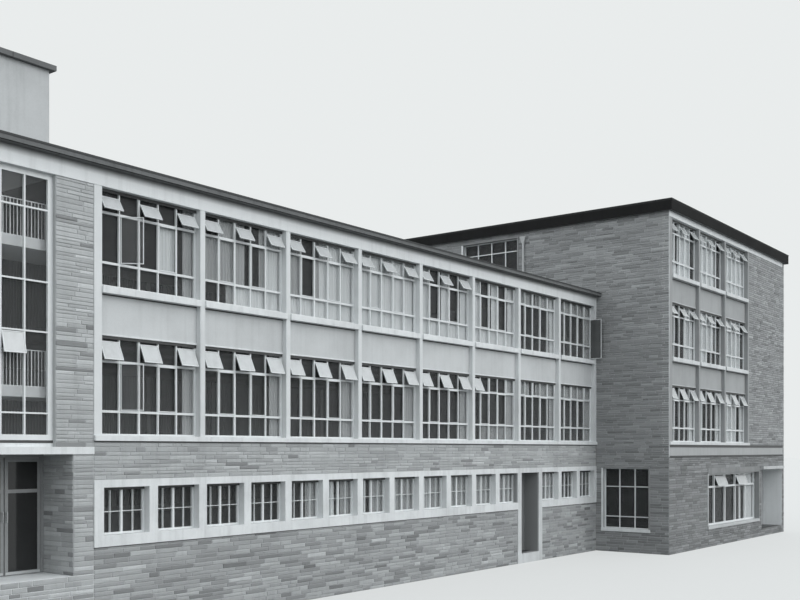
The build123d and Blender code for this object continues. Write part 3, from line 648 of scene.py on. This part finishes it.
def fill_window(box, open_vents=(), opened=None, swung=None):
    """The bars, vent panes, casement panes and turned panes of one upper window."""
    side, low, high = elevation(box)
    left = low[0] + FRAME_EDGE
    pitch = (high[0] - FRAME_EDGE - left) / PANES
    face = low[1] - BAR_PROUD
    swung = swung or {}
    white, bright, clear, turned = [], [], [], []
    for k in range(1, PANES):
        half = (COUPLING if k == 2 else BAR) / 2
        x = left + pitch * k
        white.append(bar((x - half, face, low[2] + FRAME_EDGE / 2),
                         (x + half, face + BAR_DEEP, high[2] - FRAME_EDGE / 2)))

    def fit(column, foot, tall, angle, side_hung=False):
        """Add one sash and give back its pane."""
        place = (left + pitch * column + BAR / 2, face - SASH_EDGE / 2, foot)
        bars, pane = sash(pitch - BAR, tall, place, angle, side_hung)
        white.extend(bars)
        return pane

    for k in sorted({*CASEMENTS, *swung}):
        angle, tall = swung.get(k, (0, False))
        foot = FRAME_EDGE if tall else LOW_RAIL + TRANSOM / 2
        pane = fit(k, low[2] + foot, HIGH_RAIL - TRANSOM / 2 - foot, angle, True)
        if angle:
            (turned if tall else clear).append(pane)
    closed = (high[2] - low[2] - FRAME_EDGE - HIGH_RAIL - TRANSOM / 2, 0, 0)
    for k in VENTS:
        vent_high, drop, angle = opened if k in open_vents else closed
        pane = fit(k, high[2] - FRAME_EDGE - drop - vent_high, vent_high, angle)
        if k in open_vents:
            bright.append(pane)
    return [stood(side, parts) for parts in (white, bright, clear, turned)]


def clear_glass():
    """Drawn sheet glass, slightly uneven; a grey film of dust and painted reflection grows aslant.
    """
    material, tree, skin = new_material("sheet_glass")
    slant = shader(tree, "LayerWeight", {"Blend": 0.5}).outputs["Facing"]
    place = shader(tree, "TexCoord").outputs["Object"]
    waves = shader(tree, "TexNoise", {"Vector": place, "Scale": 3.5, "Detail": 1.0})
    fill(skin, {"Base Color": grey(0.19), "Roughness": 0.04, "IOR": 1.5,
                "Alpha": ranged(tree, slant, 0.3, 1.0, 0.13, 0.19),
                "Normal": raised(tree, waves.outputs["Fac"], 0.25, 0.004)})
    return material


window_paint = finish("white_window_paint", 0.74, 0.58, 0.15, 0.3, 0.3, 0.006, (0.32, 0.55),
                      0.0003)
coat(window_paint, "ground_windows", "first_floor_windows", "second_floor_windows",
     "third_floor_windows", "stair_window", "wing_side_windows", "wing_screen")
# Vent panes are an opaque pale grey: obscured glass with a painted reflection of the sky.
vent_glass = finish("vent_glass", 0.58, 0.44, 0.3, 0.4, 0.12, 0.01, (0.12, 0.3), 0.0002, 0.85)
# Door panes are opaque near black: painted shade of the dark halls behind them.
dark_glass = finish("dark_glass", 0.016, 0.026, 0.1, 0.3, 0.4, 0.02, (0.04, 0.12), 0.0002)
# The swung casement's pane is an opaque grey: painted reflection.
swung_pane_reflection = finish("swung_pane_reflection", 0.120, 0.085, 0.3, 0.4, 0.2, 0.01, (0.05, 0.15), 0.0002)
sheet_glass = clear_glass()
coat(sheet_glass, "window_glass", "stair_glass", "wing_glass")

# The vents stand open in this many bays from the block's left end, and in all of the wing's.
BAYS_WITH_VENTS = 5
# An open vent's height, how far its head slides down, and how far its foot swings out.
OPENED = {"first_floor": (0.235, 0.036, math.radians(24)),
          "second_floor": (0.178, 0.060, math.radians(32)),
          "third_floor": (0.178, 0.060, math.radians(32))}
# A casement's opening angle, and whether it reaches down to the sill.
OPEN_CASEMENTS = {("first_floor", 0): {1: (CASEMENT_ANGLE, False)},
                  ("second_floor", 0): {1: (CASEMENT_ANGLE, False)},
                  ("second_floor", 7): {4: (-math.radians(86), True)}}
ODD_VENTS = {("first_floor", 5): VENTS[:1]}
row_boxes = {}
for name, opened in OPENED.items():
    white, bright, clear, turned = [], [], [], []
    boxes = solids(f"{name}_windows")
    main_front = [b for b in boxes if on_front(b) and b[0][1] > front_y]
    wing_front = [b for b in boxes if on_front(b) and b[0][1] < front_y]
    rear = [b for b in boxes if not on_front(b)]
    row_boxes[name] = (main_front, wing_front, rear)
    for bay, box in enumerate(main_front + wing_front):
        in_wing = bay >= len(main_front)
        usual = VENTS if in_wing or bay < BAYS_WITH_VENTS else ()
        place = (name, None if in_wing else bay)
        filled = fill_window(box, ODD_VENTS.get(place, usual), opened, OPEN_CASEMENTS.get(place))
        for found, parts in zip((white, bright, clear, turned), filled):
            found += parts
    for box in rear:
        white += fill_window(box)[0]
    piece(f"{name}_bars", white, window_paint)
    for kind, parts, glazing in (("vent", bright, vent_glass), ("casement", clear, sheet_glass),
                                 ("turned", turned, swung_pane_reflection)):
        if parts:
            piece(f"{name}_{kind}_panes", parts, glazing)

# Painted shade strips and drips
# Near-black strips stand for the shade at the head of each window, under each sill and cast
# frame, and along both edges of the wing's low beam: painted shade. A pale drip strip runs
# along the foot of each panel.
DRIP_HIGH = 0.020
DRIP_PROUD = 0.010
HEAD_SHADE_STRIP = 0.034
SILL_SHADE_STRIP = 0.016
COURSE_SHADE_STRIP_PROUD = 0.010
BEAM_HEAD_SHADE_STRIP = 0.055
BEAM_FOOT_SHADE_STRIP = 0.028
FRAME_FOOT_SHADE_STRIP = 0.010
FRAME_SHADE_STRIP_IN = (0.002, 0.014)
SHADE_STRIP_THICK = 0.004
SHADE_STRIP_EDGE = 0.001
SASH_CLEAR = 0.010
SAME_LEVEL = 0.01
WALL_THICK = end_inner - end_left
shade_strip_paint = finish("near_black_shade", 0.045, 0.075, 0.3, 0.4, 0.3, 0.008, (0.5, 0.7), 0.0004)
frame_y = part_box("first_floor_windows")[0].y
panel_to_frame = frame_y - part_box("spandrel_panels")[0].y
wall_to_frame = frame_y - wing_front_y
panels_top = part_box("spandrel_panels")[1].z
upper_boxes = [box for rows in row_boxes.values() for row in rows for box in row]
ground_boxes = solids("ground_windows")
drips, shade_strips = [], []


def lay_shade_strip(side, low, high):
    """Lay a dark strip of painted shade between two corners drawn on one side."""
    shade_strips.extend(stood(side, [bar(low, high, SHADE_STRIP_EDGE)]))


for box in [*upper_boxes, *ground_boxes]:
    side, low, high = elevation(box)
    near = low[1] - SASH_CLEAR - SHADE_STRIP_THICK
    lay_shade_strip(side, (low[0], near, high[2] - HEAD_SHADE_STRIP), (high[0], near + SHADE_STRIP_THICK, high[2]))
for box in upper_boxes:
    side, low, high = elevation(box)
    face = low[1] - panel_to_frame
    if high[2] < panels_top:
        drips += stood(side, [bar((low[0], face - DRIP_PROUD, high[2]),
                                  (high[0], face, high[2] + DRIP_HIGH))])
low, high = min((box for box in solids("edge_beams") if on_front(box)),
                key=lambda box: box[1][2])
for foot, head in ((high[2] - BEAM_HEAD_SHADE_STRIP, high[2]), (low[2], low[2] + BEAM_FOOT_SHADE_STRIP)):
    lay_shade_strip("front", (low[0], low[1] - SHADE_STRIP_THICK, foot), (high[0], low[1], head))
first_sill_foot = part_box("window_sills")[0].z
for box in solids("window_sills"):
    side, low, high = elevation(box)
    in_course = low[2] < first_sill_foot + SAME_LEVEL
    behind = -COURSE_SHADE_STRIP_PROUD if in_course else wall_to_frame - panel_to_frame
    face = high[1] - WALL_THICK + behind
    lay_shade_strip(side, (low[0], face - SHADE_STRIP_THICK, low[2] - SILL_SHADE_STRIP), (high[0], face, low[2]))
for box in solids("ground_surrounds"):
    side, low, high = elevation(box)
    near, far = low[1] + FRAME_SHADE_STRIP_IN[0], low[1] + FRAME_SHADE_STRIP_IN[1]
    lay_shade_strip(side, (low[0], near, low[2] - FRAME_FOOT_SHADE_STRIP), (high[0], far, low[2]))
piece("painted_shade_strips", shade_strips, shade_strip_paint)
piece("panel_drip_strips", drips, cast_paint)

# Ground-floor windows
# Each steel window has a thick middle mullion of its own; two thin mullions and a middle rail
# divide it into eight panes. All are puttied bars, painted with the frame.
THIN_BAR = 0.009
RAIL_SHARE = 0.48
white = []
for box in ground_boxes:
    side, low, high = elevation(box)
    face = low[1] - BAR_PROUD
    level = low[2] + RAIL_SHARE * (high[2] - low[2])
    parts = [bar((low[0] + FRAME_EDGE, face, level - THIN_BAR / 2),
                 (high[0] - FRAME_EDGE, face + BAR_DEEP, level + THIN_BAR / 2))]
    for share in (0.25, 0.75):
        x = low[0] + (high[0] - low[0]) * share
        parts.append(bar((x - THIN_BAR / 2, face, low[2] + FRAME_EDGE),
                         (x + THIN_BAR / 2, face + BAR_DEEP, high[2] - FRAME_EDGE)))
    white += stood(side, parts)
piece("ground_window_bars", white, window_paint)

# Curtains
# Unlined cotton curtains, some pale and some grey, gathered on steel rails at the window
# heads. Each bay is drawn as its class left it; the rear rooms keep theirs closed.
RAIL_BEHIND = 0.012
RAIL_DEEP = 0.024
RAIL_HIGH = 0.012
CLOTH_BEHIND = 0.024
CLOTH_OVERLAP = 0.035
HEM_GAP = 0.012
PLEAT = 0.052
PLEAT_DEEP = 0.009
PLEAT_AT_HEAD = 0.7
PLEAT_GAIN = 0.4
PLEAT_LEAN = 0.2
PLEAT_STRAY = (0.6, 1.4)
PLEAT_DRIFT = 0.5
PLEAT_STEPS = 8
DROP_STEPS = 5
PAST_RAIL = 0.014
# The foot and the head of each length above the window's foot; None is the window's head.
FULL, LOWER = (0, None), (0, LOW_RAIL)
UPPER, MIDDLE = (LOW_RAIL + PAST_RAIL, None), (LOW_RAIL + PAST_RAIL, HIGH_RAIL)
TOP = (HIGH_RAIL + PAST_RAIL, None)


def cloth_finish(name, shade, shadow):
    """Plain woven cotton: a fine crossing weave, softly uneven where the sun has faded it."""
    material, tree, skin = new_material(name)
    wear = weathered(tree, 0.35, 0.3, 1.0, 0.004)[0]
    place = shader(tree, "TexCoord").outputs["Object"]
    threads = [shader(tree, "TexWave", {"Vector": place, "Scale": 160.0, "Distortion": 0.4},
                      bands_direction=way).outputs["Fac"] for way in ("X", "Z")]
    weave = worked(tree, "MULTIPLY", *threads)
    fill(skin, {"Base Color": mixed(tree, wear, grey(shade), grey(shadow)), "Roughness": 0.95,
                "Sheen Weight": 0.15, "Normal": raised(tree, weave, 0.2, 0.0002)})
    return material


def drop_of_cloth(left, right, low, high, depth):
    """One gathered curtain as a single sheet; its pleats deepen and stray towards the hem."""
    pleats = max(2, round((right - left) / PLEAT))
    count = pleats * PLEAT_STEPS + 1
    phase, drift = draw.uniform(0, 2 * math.pi), draw.uniform(-PLEAT_DRIFT, PLEAT_DRIFT)
    stray = draw.uniform(*PLEAT_STRAY, pleats + 1)
    share = np.linspace(0, 1, count)
    swell = np.interp(share * pleats, np.arange(pleats + 1), stray)
    points = []
    for row in np.linspace(0, 1, DROP_STEPS):
        wave = 2 * math.pi * pleats * share + phase + drift * row
        deep = PLEAT_DEEP * (PLEAT_AT_HEAD + PLEAT_GAIN * row) * swell
        x = left + (right - left) * share + PLEAT_LEAN * deep * np.sin(2 * wave)
        level = np.full(count, high - (high - low) * row)
        points += list(zip(x, depth + deep * np.sin(wave), level))
    faces = [(r * count + k, (r + 1) * count + k, (r + 1) * count + k + 1, r * count + k + 1)
             for r in range(DROP_STEPS - 1) for k in range(count - 1)]
    return np.array(points), faces


def extent(box, start, end):
    """A window's side and corners, and the left and right of a drop between two of its panes."""
    side, low, high = elevation(box)
    pitch = (high[0] - low[0] - 2 * FRAME_EDGE) / PANES
    left = low[0] + FRAME_EDGE + pitch * start - (CLOTH_OVERLAP if start == 0 else 0)
    right = low[0] + FRAME_EDGE + pitch * end + (CLOTH_OVERLAP if end == PANES else 0)
    return side, low, high, left, right


def hang(name, drops, material):
    """One row's curtains of one cloth, on the rails behind its windows."""
    parts = []
    for box, start, end, (foot, head) in drops:
        side, low, high, left, right = extent(box, start, end)
        top = high[2] - HEM_GAP if head is None else low[2] + head
        depth = high[1] + CLOTH_BEHIND
        parts += stood(side, [drop_of_cloth(left, right, low[2] + foot, top, depth)])
    cloth = piece(name, parts, material)


def rail(side, left, right, foot, back):
    """A steel rail behind a window, from its left to its right."""
    near = back + RAIL_BEHIND
    return stood(side, [bar((left, near, foot), (right, near + RAIL_DEEP, foot + RAIL_HIGH))])


def drops_of(boxes, plan):
    """The drops over a row of windows: (box, from pane, to pane, length); all, with no plan."""
    plan = plan or {bay: [(0, PANES)] for bay in range(len(boxes))}
    return [(boxes[bay], start, end, *(length or [FULL])) for bay, drops in plan.items()
            for start, end, *length in drops]


white_cloth = cloth_finish("white_cotton", 0.92, 0.80)
pale_cloth = cloth_finish("pale_cotton", 0.84, 0.68)
grey_cloth = cloth_finish("grey_cotton", 0.50, 0.36)
rear_cloth = cloth_finish("rear_cotton", 0.36, 0.24)
first, second, third = row_boxes.values()
front_ground = [box for box in ground_boxes if on_front(box)]
rear_ground = [box for box in ground_boxes if not on_front(box)]
# Each row's cloth, its windows and, for each bay, the panes that its curtains cover.
CURTAINS = (
    ("second_floor_pale", pale_cloth, second[0], {
        0: [(3.2, 4.05, MIDDLE)],
        1: [(2.0, 4.0, LOWER), (4.1, 5.0)],
        2: [(2.5, 5.0), (0.2, 2.5, LOWER)],
        3: [(0.0, 5.0)],
        4: [(0.0, 1.25), (2.4, 3.3), (4.4, 5.0), (1.25, 2.4, LOWER), (3.3, 4.4, LOWER)],
        5: [(0.0, 1.3), (2.5, 3.4), (4.5, 5.0), (1.3, 2.5, LOWER), (3.4, 4.5, LOWER)],
        6: [(4.6, 5.0)]}),
    ("second_floor_grey", grey_cloth, second[0], {
        0: [(4.5, 5.0)],
        1: [(0.3, 1.2, MIDDLE), (1.2, 2.2, UPPER), (2.2, 2.8, UPPER), (3.7, 4.1, UPPER),
            (1.6, 2.0, LOWER)],
        2: [(0.0, 1.2, UPPER), (2.15, 2.5, UPPER)],
        6: [(4.4, 4.6), (0.0, 2.1, TOP), (2.6, 4.4, TOP)],
        7: [(4.5, 5.0), (1.0, 4.5, TOP)]}),
    ("first_floor_grey", grey_cloth, first[0], {
        0: [(4.5, 5.0)], 1: [(4.4, 5.0)], 2: [(4.3, 5.0)], 3: [(4.3, 5.0)], 4: [(4.4, 5.0)],
        5: [(4.4, 5.0)], 6: [(4.5, 5.0), (0.0, 1.9, TOP), (2.6, 4.5, TOP)],
        7: [(4.5, 5.0), (0.6, 4.5, TOP)]}),
    ("first_floor_dark", rear_cloth, first[0], {5: [(1.4, 4.4, LOWER)]}),
    ("wing_first_floor", pale_cloth, first[1], {
        0: [(4.0, 5.0)], 1: [(0.0, 1.0), (4.2, 5.0)], 2: [(0.0, 3.2), (4.4, 5.0)]}),
    ("wing_second_floor", pale_cloth, second[1], {
        0: [(3.6, 5.0)], 1: [(0.0, 2.2), (2.2, 4.0, UPPER)], 2: [(0.0, 4.4)]}),
    ("wing_third_floor", white_cloth, third[1], {
        0: [(0.0, 1.0), (1.0, 1.9, LOWER), (1.9, 4.5)], 1: [(0.0, 4.1)], 2: [(0.3, 5.0)]}),
    ("wing_screen", pale_cloth, [screen_box], {0: [(3.6, 3.8), (4.15, 5.0)]}),
    ("rear_first_floor", rear_cloth, first[2], None),
    ("rear_second_floor", rear_cloth, second[2], None),
    ("rear_third_floor", rear_cloth, third[2], None),
    ("ground_floor_grey", grey_cloth, front_ground, {
        4: [(3.4, 5.0)], 5: [(3.3, 5.0)], 6: [(2.6, 5.0)], 7: [(1.9, 5.0)],
        8: [(0.2, 2.0), (3.2, 5.0)], 9: [(0.2, 5.0)], 10: [(0.0, 2.4), (3.0, 5.0)],
        11: [(0.0, 5.0)], 12: [(0.0, 5.0)]}),
    ("ground_floor_pale", pale_cloth, front_ground, {
        5: [(0.4, 2.2)], 6: [(0.5, 2.0)], 7: [(0.2, 1.5)], 8: [(2.0, 3.2)], 10: [(2.4, 3.0)]}),
    ("rear_ground_floor", rear_cloth, rear_ground, None),
)
hung = [(f"{row}_curtains", drops_of(boxes, plan), cloth) for row, cloth, boxes, plan in CURTAINS]
rails = []
for box in [*upper_boxes, *ground_boxes, screen_box]:
    side, low, high = elevation(box)
    rails += rail(side, low[0], high[0], high[2] - RAIL_HIGH, high[1])
for name, drops, cloth in hung:
    for box, start, end, (foot, head) in drops:
        if head is not None:
            side, low, high, left, right = extent(box, start, end)
            rails += rail(side, left, right, low[2] + head, high[1])
piece("curtain_rails", rails, window_paint)
for name, drops, cloth in hung:
    hang(name, drops, cloth)

# Doors
# Painted timber leaves with glazed panels, each hung on two steel butts; every leaf has a
# plain pull handle and a kicking plate of the same dull metal, screwed to its outer face.
LEAF_THICK = 0.022
LEAF_GAP = 0.006
BUTT_R = 0.009
PANE_IN = 0.0045
PANE_SHEET = 0.002
PANE_LAP = 0.002
HANDLE_OUT = 0.022
HANDLE_HALF = 0.05
STANDOFF_HALF = 0.004
GRIP_HALF = 0.005
GRIP_PAST = 0.01
PLATE_THICK = 0.0012
PLATE_EDGE = 0.0005
PLATE_MARGIN = 0.01
PLATE_FOOT = 0.008
PLATE_HEAD = 0.006
# The width of a leaf's stiles and the level of its middle rail.
SIDE_LEAF = (0.055, 0.701)
PORCH_LEAF = (0.040, 1.640)
door_paint = finish("dark_door_paint", 0.16, 0.10, 0.2, 0.4, 0.3, 0.006, (0.35, 0.6), 0.0005)
# The screen's dark grey paint also holds the painted shade of the porch.
screen_paint_and_shade = finish("screen_paint_and_shade", 0.26, 0.18, 0.25, 0.4, 0.3, 0.008, (0.4, 0.65), 0.0005)
coat(door_paint, "side_door", "wing_door")
coat(screen_paint_and_shade, "porch_screen", "porch_door_left", "porch_door_right")
handle_metal = finish("dull_metal", 0.45, 0.30, 0, 0.5, 0.1, 0.004, (0.3, 0.5), 0.0002)


def rod(low, high):
    """A plain square rod between two corners."""
    points = [(x, y, z) for x in (low[0], high[0]) for y in (low[1], high[1])
              for z in (low[2], high[2])]
    return np.array(points), [(0, 1, 3, 2), (4, 6, 7, 5), (0, 4, 5, 1), (2, 3, 7, 6),
                              (0, 2, 6, 4), (1, 5, 7, 3)]


def dress_leaf(node, stile, rail_level, hinge_at_left, outer_low):
    """Glass, a pull handle and a kicking plate on one leaf."""
    low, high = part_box(node)
    near = low.y if outer_low else high.y - LEAF_THICK
    left = low.x + (BUTT_R + LEAF_GAP if hinge_at_left else 0)
    right = high.x - (0 if hinge_at_left else BUTT_R + LEAF_GAP)
    panes = []
    for bottom, top in ((low.z + stile, rail_level - stile / 2),
                        (rail_level + stile / 2, high.z - stile)):
        for y in (near + PANE_IN, near + LEAF_THICK - PANE_IN - PANE_SHEET):
            panes.append(bar((left + stile - PANE_LAP, y, bottom - PANE_LAP),
                             (right - stile + PANE_LAP, y + PANE_SHEET, top + PANE_LAP),
                             GLASS_EDGE))
    piece(f"{node}_glass", panes, dark_glass, f"{node}_leaf")
    grip = right - stile / 2 if hinge_at_left else left + stile / 2
    middle = (low.z + high.z) / 2
    outward = near - HANDLE_OUT
    furniture = [rod((grip - STANDOFF_HALF, outward, z - STANDOFF_HALF),
                     (grip + STANDOFF_HALF, near, z + STANDOFF_HALF))
                 for z in (middle - HANDLE_HALF, middle + HANDLE_HALF)]
    reach = HANDLE_HALF + GRIP_PAST
    furniture += [bar((grip - GRIP_HALF, outward - GRIP_HALF, middle - reach),
                      (grip + GRIP_HALF, outward + GRIP_HALF, middle + reach)),
                  bar((left + PLATE_MARGIN, near - PLATE_THICK, low.z + PLATE_FOOT),
                      (right - PLATE_MARGIN, near, low.z + stile - PLATE_HEAD), PLATE_EDGE)]
    piece(f"{node}_furniture", furniture, handle_metal, f"{node}_leaf")


dress_leaf("side_door", *SIDE_LEAF, True, True)
dress_leaf("porch_door_left", *PORCH_LEAF, True, False)
dress_leaf("porch_door_right", *PORCH_LEAF, False, False)

# Stair bay
# Half landings show behind the tall stair window, guarded by upright bars between flats.
# The hall's plastered ceiling catches light at the top; one vent is pushed open.
GUARD_SPACES = 31
GUARD_RAIL = 0.010
ROD = 0.007
CEILING_THICK = 0.012
CEILING_IN = 0.15
STAIR_SHADE_STRIP_HIGH = 0.030
STAIR_EDGE = 0.060
STAIR_COLUMNS = 6
STAIR_VENT_COLUMN = 4
STAIR_VENT_TOP = 1.165
STAIR_VENT_HIGH = 0.235
STAIR_VENT_PROUD = 0.006
STAIR_VENT_ANGLE = math.radians(12)
guard_paint = finish("guard_paint", 0.85, 0.70, 0.2, 0.4, 0.2, 0.006, (0.35, 0.6), 0.0003)
coat(guard_paint, "landing_balustrades")
rods = []
for low, high in solids("landing_balustrades"):
    space = (high[0] - low[0]) / GUARD_SPACES
    middle = (low[1] + high[1]) / 2
    for k in range(GUARD_SPACES):
        x = low[0] + space * (k + 0.5)
        rods.append(bar((x - ROD / 2, middle - ROD / 2, low[2] + GUARD_RAIL),
                        (x + ROD / 2, middle + ROD / 2, high[2] - GUARD_RAIL)))
piece("landing_rods", rods, guard_paint)
plaster = finish("ceiling_plaster", 0.88, 0.76, 0, 0.5, 0.7, 0.01, (0.8, 0.95), 0.0005)
deck_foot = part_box("main_roof_deck")[0].z
ceiling = bar((end_inner, front_y + CEILING_IN, deck_foot - CEILING_THICK),
              (stair_right, stair_rear[0].y, deck_foot), 0.004)
piece("stair_ceiling", [ceiling], plaster)
low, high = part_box("stair_window")
# A dark strip under the stair window is painted shade below its frame.
stair_shade_strip = bar((low.x, low.y - SHADE_STRIP_THICK, low.z - STAIR_SHADE_STRIP_HIGH), (high.x, low.y, low.z), SHADE_STRIP_EDGE)
piece("stair_window_shade_strip", [stair_shade_strip], shade_strip_paint)
pitch = (high.x - low.x - 2 * STAIR_EDGE) / STAIR_COLUMNS
place = (low.x + STAIR_EDGE + pitch * STAIR_VENT_COLUMN + BAR / 2, low.y - STAIR_VENT_PROUD,
         low.z + STAIR_VENT_TOP - BAR - STAIR_VENT_HIGH)
bars, pane = sash(pitch - BAR, STAIR_VENT_HIGH, place, STAIR_VENT_ANGLE)
piece("stair_vent_bars", bars, window_paint)
piece("stair_vent_pane", [pane], vent_glass)

# Roofs
# Felt laid in lapped strips under chippings on flat concrete decks, finished at the eaves
# with a dark metal edge that has a capping over its top; its foot is painted near black as shade.
FELT_STRIP = 0.5
FELT_LAP = 0.012
SOFFIT_TOP = 0.004


def felt_finish():
    """Mineral felt under grit: pale and dark grains, with a lapped edge at each strip."""
    material, tree, skin = new_material("roofing_felt")
    wear, grain = weathered(tree, 0, 0.7, 1.6, 0.008)
    strip = worked(tree, "PINGPONG", coordinate(tree, "X"), FELT_STRIP)
    lap = ranged(tree, strip, 0.0, FELT_LAP, 1.0, 0.0)
    tint = mixed(tree, lap, mixed(tree, wear, grey(0.17), grey(0.09)), grey(0.05))
    fill(skin, {"Base Color": tint, "Roughness": 0.92, "Normal": raised(tree, grain, 0.7, 0.003)})
    return material


coat(felt_finish(), "main_roof_deck", "wing_roof_deck", "tank_room_roof")
for node, shade, capping_shade, capping in (("main_roof_fascia", 0.17, 0.07, 0.025),
                                            ("wing_roof_fascia", 0.014, 0.035, 0.040)):
    low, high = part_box(node)
    paint = two_tones(f"{node}_paint", shade, capping_shade, {"Z Over": high.z - capping},
                      (0.85, 0.95))
    fill(paint.node_tree.nodes["Principled BSDF"], {"Specular IOR Level": 0.2})
    # The foot of each edge is near black: painted shade under the eave.
    cover(paint, within(paint.node_tree, {"Z Under": low.z + SOFFIT_TOP}), 0.012)
    coat(paint, node)

# Tank room
# A small rendered room on the roof over the stair for the water tank, under a thin flat slab
# that overhangs all round and is felted like the roofs.
tank_render = finish("tank_room_render", 0.52, 0.40, 0.4, 0.5, 0.6, 0.02, (0.8, 0.95), 0.001)
coat(tank_render, "tank_room_walls")

# Wing windows and screen
# Cast frames stand proud of the stone round the wing's side windows and the glazed screen.
# The screen's second and fourth lights have a top vent pushed open.
SURROUND_WIDE = 0.032
SURROUND_HEAD = 0.030
SURROUND_SILL = 0.060
SURROUND_PROUD = 0.018
SURROUND_LAP = 0.004
SURROUND_EDGE = 0.003
SILL_PROUD = 0.01
SCREEN_HEAD = 0.125
SCREEN_LIGHTS = 5
SCREEN_POST = 0.040
SCREEN_RAIL_Z = 1.280
SCREEN_VENT_DROP = 0.02
SCREEN_VENT_PROUD = 0.004
SCREEN_VENT_ANGLE = math.radians(22)


def surround(side, box, head, wall):
    """Painted far jamb and sill, and a near jamb and head of painted shade, round one stone
    opening.
    """
    low, high = drawn(side, box)
    left, right = low[0] - SURROUND_WIDE, high[0] + SURROUND_WIDE
    near, far = wall - SURROUND_PROUD, low[1]
    lap, edge = SURROUND_LAP, SURROUND_EDGE
    painted = [bar((left, near, low[2]), (low[0] + lap, far, high[2]), edge),
               bar((left, near - SILL_PROUD, low[2] - SURROUND_SILL),
                   (right, far, low[2] + lap), edge)]
    shaded_parts = [bar((high[0] - lap, near, low[2]), (right, far, high[2]), edge),
            bar((left, near, high[2] - lap), (right, far, high[2] + head), edge)]
    return stood(side, painted), stood(side, shaded_parts)


# The near jambs and heads are a darker grey: painted shade.
shaded_cast = finish("shaded_cast_concrete", 0.26, 0.17, 0.35, 0.5, 0.4, 0.012, (0.75, 0.9), 0.001)
painted, shaded_parts = [], []
for side, box, head, wall in (("left", side_holes[0], SURROUND_HEAD, wing_side_x),
                              ("left", side_holes[1], SURROUND_HEAD, wing_side_x),
                              ("front", screen_box, SCREEN_HEAD, wing_front_y)):
    for found, parts in zip((painted, shaded_parts), surround(side, box, head, wall)):
        found += parts
piece("wing_window_surrounds", painted, cast_paint)
piece("wing_window_shaded_heads", shaded_parts, shaded_cast)
low, high = screen_box
pitch = (high.x - low.x) / SCREEN_LIGHTS
vent_high = high.z - SCREEN_RAIL_Z - 1.5 * SCREEN_POST
vent_bars, vent_panes = [], []
for column in (1, 3):
    place = (low.x + pitch * column + SCREEN_POST / 2, low.y - SCREEN_VENT_PROUD,
             SCREEN_RAIL_Z + SCREEN_POST / 2 - SCREEN_VENT_DROP)
    bars, pane = sash(pitch - SCREEN_POST, vent_high, place, SCREEN_VENT_ANGLE)
    vent_bars += bars
    vent_panes.append(pane)
piece("wing_screen_vent_bars", vent_bars, window_paint)
piece("wing_screen_vent_panes", vent_panes, vent_glass)

# Entrance lining
# The right wall of the wing's entrance recess has a thin coat of pale render, from the floor
# to the foot of the canopy.
LINING_THICK = 0.010
LINING_IN = 0.002
DOOR_CLEAR = 0.040
lining_render = finish("entrance_render", 0.82, 0.70, 0.3, 0.4, 0.5, 0.02, (0.75, 0.9), 0.001)
lining = bar((wing_inner - LINING_THICK, wing_front_y + LINING_IN, ground_floor_top),
             (wing_inner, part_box("wing_door")[0].y - DOOR_CLEAR, min(canopy_levels)))
piece("entrance_lining", [lining], lining_render)

# Rainwater pipe
# A painted cast-iron pipe, held off the wing's side wall by ears, below a tapered hopper head
# that takes the water of the wing's roof.
pipe_paint = finish("pipe_paint", 0.46, 0.30, 0.3, 0.5, 0.3, 0.01, (0.45, 0.7), 0.001)
coat(pipe_paint, "rainwater_pipe")
